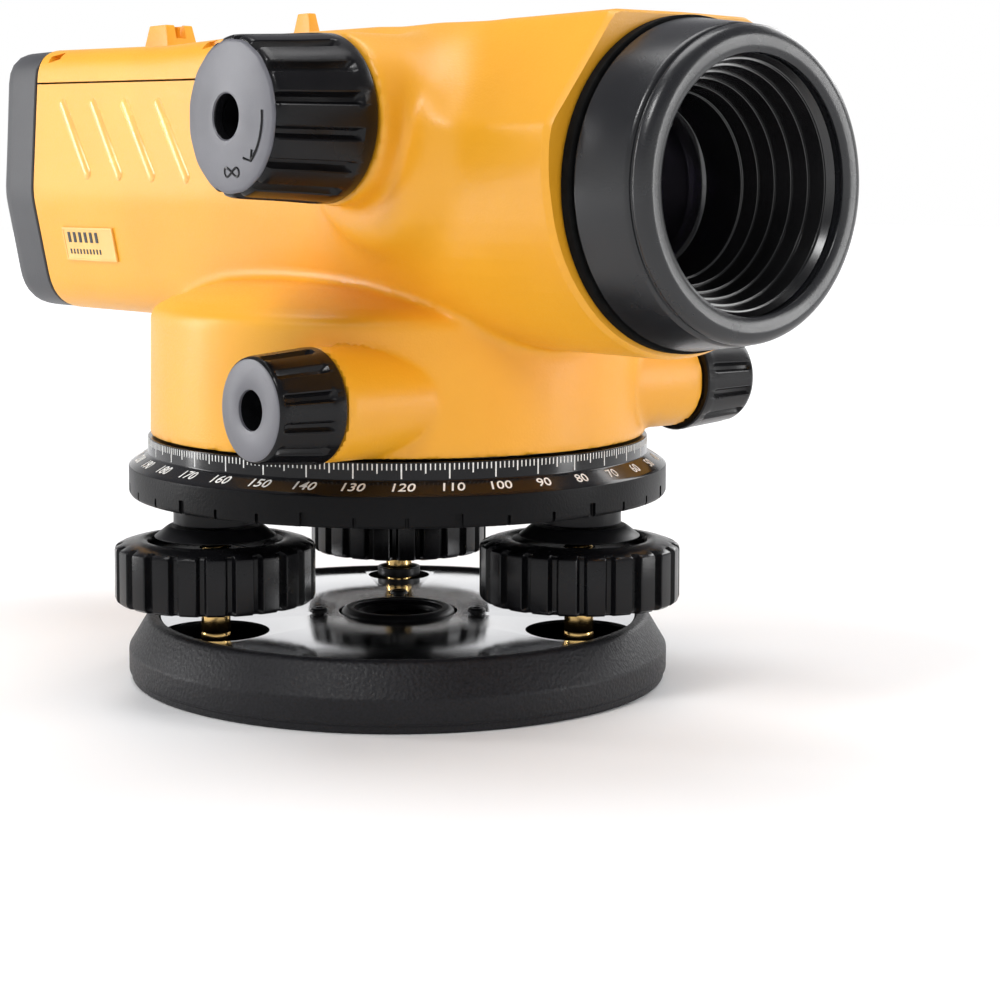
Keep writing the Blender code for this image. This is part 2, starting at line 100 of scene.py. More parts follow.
def noise(made, size, stretch=(1, 1, 1), detail=3.0, kind="ShaderNodeTexNoise"):
    """A noise or Voronoi pattern whose grains are about size mm across."""
    nodes, links = made.node_tree.nodes, made.node_tree.links
    pattern = nodes.new(kind)
    pattern.inputs["Scale"].default_value = 1 / (size * MM)
    if kind == "ShaderNodeTexNoise":
        pattern.inputs["Detail"].default_value = detail
    links.new(coordinates(nodes, links, stretch), pattern.inputs["Vector"])
    return pattern.outputs[0]


def ramp(made, source, low, high, values):
    """Maps a pattern from low to high onto two greys or two colours."""
    nodes, links = made.node_tree.nodes, made.node_tree.links
    stops = nodes.new("ShaderNodeValToRGB")
    stops.color_ramp.elements[0].position = low
    stops.color_ramp.elements[1].position = high
    for element, value in zip(stops.color_ramp.elements, values):
        element.color = (*value, 1) if isinstance(value, tuple) else (value, value, value, 1)
    links.new(source, stops.inputs["Fac"])
    return stops.outputs["Color"]


def drive(made, socket, source):
    """Links a pattern to an input of the shader."""
    made.node_tree.links.new(source, made.node_tree.nodes["Principled BSDF"].inputs[socket])


def colour_by(made, source, low, high, values):
    drive(made, "Base Color", ramp(made, source, low, high, values))


def roughness_by(made, source, low, high, values):
    drive(made, "Roughness", ramp(made, source, low, high, values))


def bump(made, heights):
    """Chains (pattern, depth in mm) pairs into the normal."""
    nodes, links = made.node_tree.nodes, made.node_tree.links
    last = None
    for pattern, depth in heights:
        step = nodes.new("ShaderNodeBump")
        step.inputs["Distance"].default_value = depth * MM
        step.inputs["Strength"].default_value = 1.0
        links.new(pattern, step.inputs["Height"])
        if last:
            links.new(last, step.inputs["Normal"])
        last = step.outputs["Normal"]
    drive(made, "Normal", last)


def mixed(made, factor, first, second):
    nodes, links = made.node_tree.nodes, made.node_tree.links
    mix = nodes.new("ShaderNodeMix")
    mix.data_type = "RGBA"
    links.new(factor, mix.inputs["Factor"])
    mix.inputs["A"].default_value = (*first, 1)
    mix.inputs["B"].default_value = (*second, 1)
    return mix.outputs["Result"]


def powder_coat():
    """Yellow powder coat: fine orange peel, faint shade drift and tiny glossy flecks."""
    made = material("yellow_powder_coat", (0.80, 0.36, 0.02), 0.42, Coat_Weight=0.1, Coat_Roughness=0.25)
    drift = noise(made, 38.0, detail=4.0)
    colour_by(made, drift, 0.3, 0.7, ((0.80, 0.355, 0.012), (0.86, 0.41, 0.022)))
    grain = noise(made, 0.42, detail=2.0)
    roughness_by(made, grain, 0.3, 0.7, (0.36, 0.50))
    bump(made, [(grain, 0.030), (noise(made, 1.6, detail=2.0), 0.020)])
    return made


def crackle_paint():
    """Black wrinkle paint on the base casting."""
    made = material("black_wrinkle_paint", (0.022, 0.023, 0.027), 0.42, Specular_IOR_Level=0.28)
    cells = noise(made, 0.75, kind="ShaderNodeTexVoronoi")
    fine = noise(made, 0.45, detail=5.0)
    colour_by(made, fine, 0.35, 0.75, ((0.004, 0.004, 0.005), (0.014, 0.0135, 0.017)))
    roughness_by(made, fine, 0.3, 0.7, (0.38, 0.62))
    bump(made, [(cells, 0.06), (fine, 0.06)])
    return made


def moulded(name, colour, rough, grain_size=0.3, depth=0.012, gloss=0.25):
    """Moulded plastic with a fine spark-eroded grain and handling wear."""
    made = material(name, colour, rough, Specular_IOR_Level=gloss)
    grain = noise(made, grain_size, detail=3.0)
    wear = noise(made, 9.0, detail=5.0)
    light = tuple(min(1.0, c * 1.18 + 0.0006) for c in colour)
    drive(made, "Base Color", mixed(made, ramp(made, wear, 0.42, 0.68, (0.0, 1.0)), colour, light))
    roughness_by(made, wear, 0.3, 0.7, (rough - 0.02, rough + 0.05))
    bump(made, [(grain, depth)])
    return made


def turned_metal(name, colour, rough):
    """Turned metal with fine tool marks round the part."""
    made = material(name, colour, rough, metallic=1.0)
    marks = noise(made, 3.0, stretch=(1, 1, 40), detail=4.0)
    tone = noise(made, 6.0, detail=3.0)
    dark = tuple(c * 0.82 for c in colour)
    drive(made, "Base Color", mixed(made, ramp(made, tone, 0.3, 0.7, (0.0, 1.0)), dark, colour))
    roughness_by(made, marks, 0.3, 0.7, (rough * 0.8, rough * 1.4))
    bump(made, [(marks, 0.006)])
    return made


def spring_sheet():
    made = material("spring_steel", (0.86, 0.87, 0.88), 0.10, metallic=1.0)
    haze = noise(made, 14.0, detail=5.0)
    colour_by(made, haze, 0.3, 0.75, ((0.80, 0.81, 0.83), (0.90, 0.90, 0.91)))
    roughness_by(made, haze, 0.35, 0.7, (0.06, 0.16))
    bump(made, [(noise(made, 0.25, stretch=(1, 30, 1), detail=2.0), 0.0012)])
    return made


def lens_glass(name, tint, coat):
    made = material(name, tint, 0.02, IOR=1.52, Transmission_Weight=1.0, Coat_Weight=1.0, Coat_Roughness=0.02)
    made.node_tree.nodes["Principled BSDF"].inputs["Coat Tint"].default_value = (*coat, 1)
    roughness_by(made, noise(made, 5.0, detail=6.0), 0.35, 0.8, (0.01, 0.05))
    return made


def rubber_seal():
    made = material("seal_rubber", (0.004, 0.004, 0.004), 0.75, Specular_IOR_Level=0.08)
    dust = noise(made, 2.0, detail=6.0)
    colour_by(made, dust, 0.4, 0.8, ((0.002, 0.002, 0.002), (0.006, 0.006, 0.006)))
    bump(made, [(noise(made, 0.3), 0.02)])
    return made


def white_fill():
    made = material("white_engraving_fill", (0.86, 0.86, 0.84), 0.5)
    chips = noise(made, 1.2, detail=5.0)
    colour_by(made, chips, 0.3, 0.6, ((0.74, 0.74, 0.71), (0.90, 0.90, 0.88)))
    return made


def anodised_black():
    rough = 0.36
    made = material("anodised_black", (0.008, 0.008, 0.009), rough, Specular_IOR_Level=0.22)
    soot = noise(made, 1.5, detail=4.0)
    colour_by(made, soot, 0.3, 0.8, ((0.005, 0.005, 0.006), (0.008, 0.008, 0.009)))
    roughness_by(made, soot, 0.3, 0.7, (rough - 0.02, rough + 0.03))
    bump(made, [(noise(made, 0.35), 0.008)])
    return made


YELLOW = powder_coat()
# Paler, glossier yellow: on the flank ribs the paler colour is a painted highlight over the body's yellow;
# the label plate uses it too
PALE = moulded("pale_yellow", (0.90, 0.52, 0.13), 0.24, 0.3, 0.01, 0.8)
CRACKLE = crackle_paint()
GRIP = moulded("black_moulding", (0.0040, 0.0040, 0.0048), 0.24, gloss=0.24)
GREY = moulded("grey_satin_moulding", (0.011, 0.0115, 0.013), 0.25, 0.35, 0.016, 0.5)
TAIL = moulded("grey_matt_moulding", (0.052, 0.053, 0.058), 0.45, 0.4, 0.03, 0.4)
FACE = moulded("grey_knob_face", (0.10, 0.10, 0.115), 0.36, 0.25, 0.016, 0.5)
RING = moulded("circle_black", (0.0025, 0.0025, 0.003), 0.38, 0.5, 0.05, 0.12)
BAND = moulded("scale_band_black", (0.006, 0.006, 0.007), 0.14, 0.6, 0.003)
HEAD = anodised_black()
BAFFLE = moulded("baffle_black", (0.006, 0.006, 0.0065), 0.22, 0.3, 0.004, 0.7)
GLOSS = moulded("polished_black", (0.02, 0.02, 0.022), 0.10, 0.4, 0.002, 1.0)
BRASS = turned_metal("turned_brass", (0.83, 0.56, 0.22), 0.17)
STEEL = turned_metal("turned_steel", (0.66, 0.67, 0.69), 0.24)
SILVER = turned_metal("satin_chrome", (0.42, 0.43, 0.45), 0.28)
SPRING = spring_sheet()
LENS = lens_glass("coated_glass", (0.93, 0.97, 0.95), (0.55, 0.40, 0.80))
VIAL = lens_glass("vial_glass", (0.80, 0.93, 0.55), (1, 1, 1))
SEAL = rubber_seal()
WHITE = white_fill()


# Mesh helpers
def placed(name, data):
    """A new object in the scene."""
    made = bpy.data.objects.new(name, data)
    bpy.context.scene.collection.objects.link(made)
    return made


def finished(bm, name):
    """The mesh of a bmesh, which is freed."""
    mesh = bpy.data.meshes.new(name)
    bm.to_mesh(mesh)
    bm.free()
    return mesh


def piece(name, mesh, look, body, nodes=(), sharp=32, place=None):
    """Makes an object of a mesh in metres and says what it rides on and stands for."""
    made = placed(name, mesh)
    if place is not None:
        made.data.transform(place)
    made.data.materials.clear()
    made.data.materials.append(look)
    made.data.shade_smooth()
    made.data.set_sharp_from_angle(angle=radians(sharp))
    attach(made, body)
    if nodes:
        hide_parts(*nodes)
    return made


def at(x=0.0, y=0.0, z=0.0, axis="Z"):
    """Where a part made round its own z axis goes, in mm from the standing axis."""
    return Matrix.Translation((Vector((x, y, z)) + STAND) * MM) @ TURN[axis]


SIGHT_LINE = at(0, 0, AXIS_Z, "X")


def hoop(radii, z):
    """A ring of points round the z axis, with one radius for each step."""
    steps = len(radii)
    return [(r * cos(2 * pi * k / steps), r * sin(2 * pi * k / steps), z) for k, r in enumerate(radii)]


def skin(name, rings, loop=False):
    """Quads over rings of equally many points, in mm."""
    points = np.array(rings, float).reshape(-1, 3) * MM
    rows, n = len(rings), len(rings[0])
    faces = []
    for i in range(rows if loop else rows - 1):
        low, high = i * n, ((i + 1) % rows) * n
        faces += [(low + k, low + (k + 1) % n, high + (k + 1) % n, high + k) for k in range(n)]
    if not loop:
        faces += [tuple(range(n))[::-1], tuple(range((rows - 1) * n, rows * n))]
    mesh = bpy.data.meshes.new(name)
    mesh.from_pydata(points.tolist(), [], faces)
    bm = bmesh.new()
    bm.from_mesh(mesh)
    bmesh.ops.remove_doubles(bm, verts=bm.verts, dist=1e-7)
    bmesh.ops.recalc_face_normals(bm, faces=bm.faces)
    bm.to_mesh(mesh)
    bm.free()
    return mesh


def filleted(points, radius, closed=True, arcs=4):
    """Rounds the corners of an outline; radius is one number or one for each point."""
    count = len(points)
    radii = [radius] * count if isinstance(radius, (int, float)) else list(radius)
    out = []
    for i, point in enumerate(points):
        p = Vector((*point, 0))
        if radii[i] <= 0 or (not closed and i in (0, count - 1)):
            out.append((p.x, p.y))
            continue
        before, after = Vector((*points[i - 1], 0)), Vector((*points[(i + 1) % count], 0))
        a, b = (before - p), (after - p)
        reach = min(radii[i], a.length * 0.45, b.length * 0.45)
        start, end = p + a.normalized() * reach, p + b.normalized() * reach
        for k in range(arcs + 1):
            t = k / arcs
            q = start * (1 - t) ** 2 + p * 2 * t * (1 - t) + end * t**2
            out.append((q.x, q.y))
    return out


def turned(name, profile, steps=128, radius=0.3):
    """Turns a closed outline of (radius, height) points; points on the axis become one vertex."""
    outline = filleted(profile, radius)
    return skin(name, [hoop([max(r, 0.0)] * steps, z) for r, z in outline], loop=True)


def solid(name, profile, steps=96, radius=0.25):
    """Turns an open outline from the axis at the top to the axis at the bottom."""
    outline = filleted(profile, [0] + [radius] * (len(profile) - 2) + [0], closed=False)
    return turned(name, outline, steps, 0)


def fluted(name, stations, bore, flutes, shape, depth):
    """A grip: (height, radius, groove share) stations outside, (radius, height) points inside.

    shape holds (place in one flute from 0 to 1, share of the groove depth) pairs.
    """
    columns = [(2 * pi * (k + u) / flutes, cut) for k in range(flutes) for u, cut in shape]
    rings = []
    for height, radius, share in stations:
        rings.append([
            ((radius - depth * share * cut) * cos(a), (radius - depth * share * cut) * sin(a), height)
            for a, cut in columns
        ])
    for radius, height in bore:
        rings.append([(radius * cos(a), radius * sin(a), height) for a, _ in columns])
    return skin(name, rings, loop=True)


def cut(target, cutter_mesh, operation="DIFFERENCE"):
    """Applies one Boolean to an object and drops the cutter."""
    tool = placed("tool", cutter_mesh)
    modifier = target.modifiers.new("cut", "BOOLEAN")
    modifier.operation = operation
    modifier.solver = "EXACT"
    modifier.object = tool
    graph = bpy.context.evaluated_depsgraph_get()
    mesh = bpy.data.meshes.new_from_object(target.evaluated_get(graph))
    target.modifiers.clear()
    old = target.data
    target.data = mesh
    bpy.data.meshes.remove(old)
    bpy.data.objects.remove(tool)


def loose(mesh):
    """A bare object for Boolean work."""
    return placed("loose", mesh)


def taken(made):
    """The mesh of a bare object, which is removed."""
    mesh = made.data
    bpy.data.objects.remove(made)
    return mesh


def cylinder(radius, start, end, x=0.0, y=0.0, z=0.0, axis="Z", steps=96):
    mesh = solid("cylinder", [(0, end), (radius, end), (radius, start), (0, start)], steps, 0)
    mesh.transform(at(x, y, z, axis))
    return mesh


def plain_box(low, high, bevel=0.0):
    """A box made round its own origin, in mm."""
    bm = bmesh.new()
    bmesh.ops.create_cube(bm, size=1.0)
    bmesh.ops.scale(bm, vec=[(b - a) * MM for a, b in zip(low, high)], verts=bm.verts)
    if bevel:
        bmesh.ops.bevel(bm, geom=bm.edges[:], offset=bevel * MM, segments=3, profile=0.6, affect="EDGES")
    centre = Vector([(a + b) / 2 for a, b in zip(low, high)])
    bmesh.ops.translate(bm, vec=centre * MM, verts=bm.verts)
    return finished(bm, "box")


def box_mesh(low, high, bevel=0.0):
    """A box placed from the standing axis."""
    mesh = plain_box(low, high, bevel)
    mesh.transform(at())
    return mesh


def mesh_of(data):
    """The mesh that Blender draws for a curve or a text."""
    holder = placed("holder", data)
    bpy.context.view_layer.update()
    mesh = bpy.data.meshes.new_from_object(holder)
    bpy.data.objects.remove(holder)
    return mesh


def recolour(made, look, chosen):
    """A second material on the faces whose middle, in mm from the standing axis, is chosen."""
    made.data.materials.append(look)
    for face in made.data.polygons:
        if chosen(face.center / MM - STAND):
            face.material_index = 1


def joined(name, meshes):
    bm = bmesh.new()
    for mesh in meshes:
        bm.from_mesh(mesh)
        bpy.data.meshes.remove(mesh)
    return finished(bm, name)


# Base
BASE_R = (span("base_plate", 0)[1] - span("base_plate", 0)[0]) / 2
BASE_TOP = span("base_plate", 2)[1]
SCREW_HOLE = 1.4
PLATE_WINDOWS = (10.2, 10.2, 6.6)  # radii of the spring plate's holes over the three feet
KEEPER_RIMS = (5.6, 5.6, 4.6)
TRIPOD_BORE = 7.94
TRIPOD_PITCH = 25.4 / 11


def screw_spot(number):
    """Middle of a plate screw, from the standing axis."""
    low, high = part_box(f"plate_screw_{number}")
    return ((low + high) / 2 / MM - STAND).xy


PLATE_SCREWS = [screw_spot(number) for number in (1, 2, 3)]


def thread_wave(turns):
    """1 at a thread's crest and 0 at its root, against turns along the screw."""
    return abs((turns % 1.0) - 0.5) * 2


def make_casting():
    outline = [
        (47.6, BASE_TOP), (49.6, BASE_TOP), (52.9, 7.0), (BASE_R, 6.2), (BASE_R, 1.9), (52.9, 1.5),
        (52.9, 0.4), (52.3, 0.0), (24.0, 0.0), (24.0, 2.0), (12.3, 2.0), (12.3, 6.9), (47.6, 6.9),
    ]
    sizes = [0.3, 1.2, 1.0, 1.0, 0.3, 0.3, 0.3, 0.3, 0.3, 0.3, 0.3, 0.3, 0.8]
    casting = loose(turned("base_casting", filleted(outline, sizes), 256, 0))
    casting.data.transform(at())
    for spot in PLATE_SCREWS:
        cut(casting, cylinder(3.0, 6.0, 11.1, *spot, steps=40), "UNION")
        cut(casting, cylinder(SCREW_HOLE, 4.0, 12.0, *spot, steps=24))
    piece("base_casting", taken(casting), CRACKLE, "base", ["base_plate"])


def make_spring_plate():
    low, top = span("spring_plate", 2)
    plate = loose(turned("plate", [(11.9, top), (47.2, top), (47.2, low), (11.9, low)], 192, 0.12))
    plate.data.transform(at())
    for foot, radius in zip(FEET, PLATE_WINDOWS):
        cut(plate, cylinder(radius, 9, 14, *foot, steps=80))
    for spot in PLATE_SCREWS:
        cut(plate, cylinder(SCREW_HOLE, 9, 14, *spot, steps=32))
    piece("spring_sheet", taken(plate), SPRING, "base", ["spring_plate"])


def make_hub():
    """The threaded hub: its thread fades out at both ends of the bore."""
    top = span("tripod_hub", 2)[1]
    outline = filleted([(8.9, top), (10.2, top), (11.1, top - 0.5), (11.4, top - 1.2), (11.4, 1.7),
                        (17.0, 1.7), (17.0, 0.4), (9.0, 0.4)], 0.35)
    steps, rows = 128, 60
    rings = [hoop([r] * steps, z) for r, z in outline]
    for i in range(rows + 1):
        z = 0.9 + (top - 1.5) * i / rows
        fade = min(1.0, (z - 0.9) / 0.8, (top - 0.6 - z) / 0.8)
        waves = [thread_wave(z / TRIPOD_PITCH + k / steps) for k in range(steps)]
        rings.append(hoop([TRIPOD_BORE + 1.05 * (1 - wave) * fade + 0.2 * (1 - fade) for wave in waves], z))
    piece("hub_thread", skin("hub_thread", rings, loop=True), HEAD, "base", ["tripod_hub"],
          place=at())


def make_plate_fittings():
    """The cap screws that hold the spring plate, and the seats of the three feet."""
    for number, spot in enumerate(PLATE_SCREWS, 1):
        screw = loose(solid("screw", [(0, 13.1), (1.45, 13.1), (1.8, 12.7), (1.8, 12.3), (1.1, 12.3),
                                      (1.1, 4.6), (0, 4.6)], 48, 0.15))
        cut(screw, solid("hexagon", [(0, 13.5), (0.85, 13.5), (0.85, 12.5), (0, 12.5)], 6, 0))
        piece(f"cap_screw_{number}", taken(screw), HEAD, "base", [f"plate_screw_{number}"],
              place=at(*spot))
    for number, (foot, rim) in enumerate(zip(FEET, KEEPER_RIMS), 1):
        low, high = span(f"foot_keeper_{number}", 2)
        keeper = turned("keeper", [(3.9, high), (rim, high), (rim, low), (3.9, low)], 64, 0.25)
        piece(f"foot_seat_{number}", keeper, HEAD, "base", [f"foot_keeper_{number}"],
              place=at(*foot))


# Levelling head, foot screws and knobs
SCREW_PASSAGE = 3.05


def make_head():
    outline = [
        (8.3, 46.0), (18.0, 46.0), (20.0, 44.5), (20.0, 36.4), (43.4, 36.4), (43.4, 38.4), (44.2, 38.4),
        (44.2, 36.4), (46.6, 36.4), (46.6, 35.7), (40.0, 35.4), (28.0, 33.2), (18.0, 32.8), (8.3, 32.8),
    ]
    body = loose(turned("head", outline, 160, 0.5))
    body.data.transform(at())
    for foot in FEET:
        boss = solid("boss", [(0, 36.0), (7.9, 36.0), (7.9, 32.8), (0, 32.8)], 64, 0.3)
        boss.transform(at(*foot))
        cut(body, boss, "UNION")
    for foot in FEET:
        cut(body, cylinder(SCREW_PASSAGE, 30, 40, *foot, steps=48))
    piece("tribrach_head", taken(body), HEAD, "head", ["levelling_head"])
    pin = solid("pin", [(0, 64), (6, 64), (7, 63), (7, 52.6), (8, 52.6), (8, 32.2), (0, 32.2)], 96, 0.4)
    piece("standing_axis_pin", pin, STEEL, "head", ["centre_spindle"], place=at())


def foot_screw(foot):
    """A ball end at the bottom, as (radius, height) points, and a fine thread above it."""
    radius, depth, pitch, low, high, steps = 2.7, 0.32, 1.0, 19.2, 35.8, 40
    rings = [hoop([r] * steps, z) for r, z in foot]
    rows = int((high - low) / pitch * 8)
    for i in range(rows + 1):
        z = low + (high - low) * i / rows
        waves = [thread_wave(z / pitch - k / steps) for k in range(steps)]
        rings.append(hoop([radius - depth * (1 - wave) for wave in waves], z))
    return skin("screw", rings)


KNOB_LOW, KNOB_TOP = span("levelling_knob_1", 2)
KNOB_R = 19.0
FOOT_FLUTES, FOOT_FLUTE_DEPTH = 22, 1.35
# One flute of a levelling knob: (place from 0 to 1, share of the groove's depth).
LAND = ((0.0, 0), (0.29, 0), (0.325, 0.12), (0.36, 0.7), (0.42, 1), (0.58, 1), (0.64, 0.7), (0.675, 0.12),
        (0.71, 0))


def make_foot_screws():
    stations = [
        (KNOB_LOW + 0.3, 16.9, 0.2), (KNOB_LOW, 17.5, 0.6), (KNOB_LOW + 0.15, 18.2, 0.9),
        (KNOB_LOW + 0.6, 18.8, 1), (KNOB_LOW + 1.2, KNOB_R, 1), (24.0, KNOB_R, 1), (28.2, KNOB_R, 1),
        (28.6, KNOB_R - 0.12, 1), (28.85, KNOB_R - 0.4, 0.95), (29.05, KNOB_R - 0.85, 0.6),
        (29.25, KNOB_R - 1.3, 0.15), (29.5, KNOB_R - 2.1, 0), (29.75, KNOB_R - 3.0, 0),
    ]
    bore = [
        (14.6, KNOB_TOP - 0.05), (13.6, KNOB_TOP), (12.9, 29.7), (12.6, 29.0), (12.5, 28.3), (9.0, 28.1),
        (SCREW_PASSAGE, 28.1), (SCREW_PASSAGE, 19.2), (11.0, 19.2), (14.6, 19.2), (15.6, 18.9), (16.0, 18.4),
    ]
    for number, foot in enumerate(FEET, 1):
        knob = fluted("knob", stations, bore, FOOT_FLUTES, LAND, FOOT_FLUTE_DEPTH)
        piece(f"foot_knob_{number}", knob, GRIP, f"knob_{number}",
              [f"levelling_knob_{number}"], sharp=28, place=at(*foot))
        collar = turned("collar", [(3.1, 32.5), (8.8, 32.5), (9.3, 32.2), (11.5, 30.5), (11.4, 30.3),
                                   (3.1, 30.3)], 96, 0.15)
        piece(f"cone_collar_{number}", collar, HEAD, "head",
              [f"screw_collar_{number}"], place=at(*foot))
        ball = [(0.0, 8.7), (0.9, 8.75), (1.7, 9.05), (2.4, 9.6), (2.8, 10.3), (2.95, 11.0), (2.8, 11.7),
                (2.72, 11.9), (2.78, 12.0), (2.78, 18.9)]
        piece(f"brass_screw_{number}", foot_screw(ball), BRASS, f"screw_{number}",
              [f"foot_screw_{number}"], sharp=50, place=at(*foot))


# Horizontal circle
RIM_R = (span("horizontal_circle", 0)[1] - span("horizontal_circle", 0)[0]) / 2
ZERO_ANGLE = -37.0 + 120.0  # world angle of the zero mark, degrees
BAND_R, CONE_R = 49.3, 52.6
CONE_TOP, CONE_LOW = 44.7, 42.7


def make_circle():
    outline = [
        (44.6, 48.0), (BAND_R, 48.0), (BAND_R, CONE_TOP), (CONE_R, CONE_LOW), (RIM_R, 42.3), (RIM_R, 37.3),
        (52.7, 36.7), (44.6, 36.7),
    ]
    ring = loose(turned("ring", outline, 288, 0.2))
    ring.data.transform(at())
    notches = []
    for number in range(36):
        wide, top = (0.7, 38.6) if number % 3 else (1.5, 39.3)
        notch = plain_box((52.3, -wide / 2, 35.0), (55.0, wide / 2, top), 0.25)
        notch.transform(at() @ Matrix.Rotation(radians(10 * number + 4), 4, "Z"))
        notches.append(notch)
    cut(ring, joined("notches", notches))
    circle = piece("degree_ring", taken(ring), RING, "circle", ["horizontal_circle"],
                   sharp=25)
    recolour(circle, BAND, lambda middle: middle.z > 42.35 and hypot(middle.x, middle.y) > 46)


def make_degree_marks():
    """A tick for each degree on the upright band, longer at every fifth and tenth."""
    bm = bmesh.new()
    for degree in range(360):
        length = 2.7 if degree % 10 == 0 else 1.75 if degree % 5 == 0 else 1.15
        width = 0.26 if degree % 5 == 0 else 0.2
        angle = radians(ZERO_ANGLE - degree)
        box = Matrix.Rotation(angle, 4, "Z") @ Matrix.Translation((BAND_R * MM, 0, (47.75 - length / 2) * MM))
        scale = Matrix.Diagonal((0.05 * MM, width * MM, length * MM, 1))
        bmesh.ops.create_cube(bm, size=1.0, matrix=box @ scale)
    piece("degree_marks", finished(bm, "ticks"), WHITE, "circle", place=at())


def make_degree_numbers():
    """A number for each tenth degree, lying on the cone with its foot outward."""
    numbers = []
    slope = atan2(CONE_TOP - CONE_LOW, CONE_R - BAND_R)
    for degree in range(0, 360, 10):
        text = bpy.data.curves.new("number", "FONT")
        text.body = str(degree)
        text.size = 3.1 * MM
        text.offset = 0.02 * MM
        text.shear = 0.2
        text.align_x, text.align_y = "CENTER", "CENTER"
        text.extrude = 0.03 * MM
        text.resolution_u = 3
        mesh = mesh_of(text)
        outward = Matrix.Rotation(radians(ZERO_ANGLE - degree), 4, "Z")
        lay = (outward @ Matrix.Translation((50.98 * MM, 0, 43.7 * MM))
               @ Matrix.Rotation(slope, 4, "Y") @ Matrix.Rotation(pi / 2, 4, "Z"))
        mesh.transform(lay)
        numbers.append(mesh)
    piece("degree_numbers", joined("numbers", numbers), WHITE, "circle", place=at())


# Telescope housing as one blended field
HOUSING_REAR = span("main_housing", 0)[0] - STAND.x + 0.9
HOUSING_FRONT = span("main_housing", 0)[1] - STAND.x
LID_FRONT = span("rear_lid", 0)[1] - STAND.x
LID_Z, LID_FALL = 119.6, 1.7


def radial_table(outline):
    """Distance from the sight line against the angle from straight up, for a half outline."""
    dense = []
    for (ax, ay), (bx, by) in zip(outline, outline[1:]):
        for k in range(24):
            t = k / 24
            dense.append((ax + (bx - ax) * t, ay + (by - ay) * t))
    dense.append(outline[-1])
    angles = [atan2(x, y) for x, y in dense]
    return np.array(angles), np.array([hypot(x, y) for x, y in dense])


REAR_OUTLINE = filleted(
    [(0, 30.6), (26.1, 30.4), (28.0, -1.8), (22.7, -27.6), (0, -27.7)], [0, 6.5, 2.5, 8, 0],
    closed=False, arcs=8,
)
FRONT_ARC = [(r * sin(radians(a)), r * cos(radians(a)))
             for a, r in zip(range(72, 181, 6), np.interp(range(72, 181, 6), [72, 95, 130, 180],
                                                         [32.2, 30.7, 29.9, 29.5]))]
FRONT_OUTLINE = filleted([(0, 29.1), (16.3, 28.9)] + FRONT_ARC, [0, 1.2, 4] + [0] * 18,
                         closed=False, arcs=6)
REAR_TABLE, FRONT_TABLE = radial_table(REAR_OUTLINE), radial_table(FRONT_OUTLINE)


def smooth_min(a, b, k):
    """Joins two fields with a fillet about k mm wide."""
    h = np.clip(0.5 + 0.5 * (b - a) / k, 0, 1)
    return b + (a - b) * h - k * h * (1 - h)


def smooth_max(a, b, k):
    return -smooth_min(-a, -b, k)


SAG_AT = [-98, -50, -10, 15, 30, 38, 46, 52, 62]
SAG = [0, 1.3, 0.65, 0.3, 0.65, 0.65, 0.3, 0.12, 0.1]


def barrel_field(x, y, z):
    """The barrel, which changes from the rear outline to the front one and sags a little on top."""
    sag = np.interp(x, SAG_AT, SAG)
    sag = sag * np.clip((z - AXIS_Z - 8) / 18, 0, 1)
    h = z - AXIS_Z + sag
    angle = np.arctan2(np.abs(y), h)
    distance = np.hypot(y, h)
    t = np.clip((x + 30) / 92, 0, 1)
    t = t * t * (3 - 2 * t)
    wall = (1 - t) * np.interp(angle, *REAR_TABLE) + t * np.interp(angle, *FRONT_TABLE)
    return (distance - wall) * 0.94


NECK_PROFILE = np.array([
    (0.0, 80.0), (18, 79.7), (26, 78.7), (34, 77.8), (40, 76.3), (44.6, 74.8), (49.5, 72.3),
])
NECK_FOOT = 48.4
NECK_R, NECK_TAPER = 48.75, 0.25
FOCUS_BOSS_R, FOCUS_POD_R = 15.1, 17.0
NEAR_BOSS_R, FAR_BOSS_R = 10.2, 9.3
SHAFT_HOLE = 3.0
TELESCOPE_BORE, NECK_BORE = 24.0, 44.5


def neck_field(x, y, z):
    """The round neck under the telescope, with a low dome on top."""
    r = np.hypot(x, y)
    dome = (z - np.interp(r, NECK_PROFILE[:, 0], NECK_PROFILE[:, 1])) * 0.92
    wall = r - (NECK_R - NECK_TAPER * np.clip((z - 50) / 20, 0, 1))
    out = smooth_max(dome, wall, 1.9)
    return smooth_max(out, NECK_FOOT - z, 0.5)


def tube_field(x, y, z, cx, cz, radius, root, tip, edge):
    """A round boss along y from root to tip, with its tip's edge rounded."""
    r = np.hypot(x - cx, z - cz) - radius
    sign = 1 if tip > root else -1
    out = smooth_max(r, sign * (y - tip), edge)
    return smooth_max(out, -sign * (y - root), 0.5)


def housing_field(x, y, z):
    """Barrel, focusing boss, neck and tangent bosses, blended into one casting."""
    out = barrel_field(x, y, z)
    focus = tube_field(x, y, z, FOCUS.x, FOCUS.z, FOCUS_BOSS_R, -8.0, -39.9, 1.2)
    pod = tube_field(x, y, z, FOCUS.x + 1.5, FOCUS.z - 4.5, FOCUS_POD_R, -8.0, -33.6, 6.0)
    out = smooth_min(out, pod, 9.0)
    out = smooth_min(out, focus, 1.8)
    neck = neck_field(x, y, z)
    near = tube_field(x, y, z, TANGENT.x, TANGENT.z, NEAR_BOSS_R, -15.0, -43.2, 0.5)
    far = tube_field(x, y, z, TANGENT.x, TANGENT.z, FAR_BOSS_R, 15.0, 43.3, 0.5)
    neck = smooth_min(neck, near, 0.5)
    neck = smooth_min(neck, far, 0.8)
    neck = smooth_max(neck, NECK_FOOT - z, 0.3)
    return smooth_min(out, neck, 2.2)


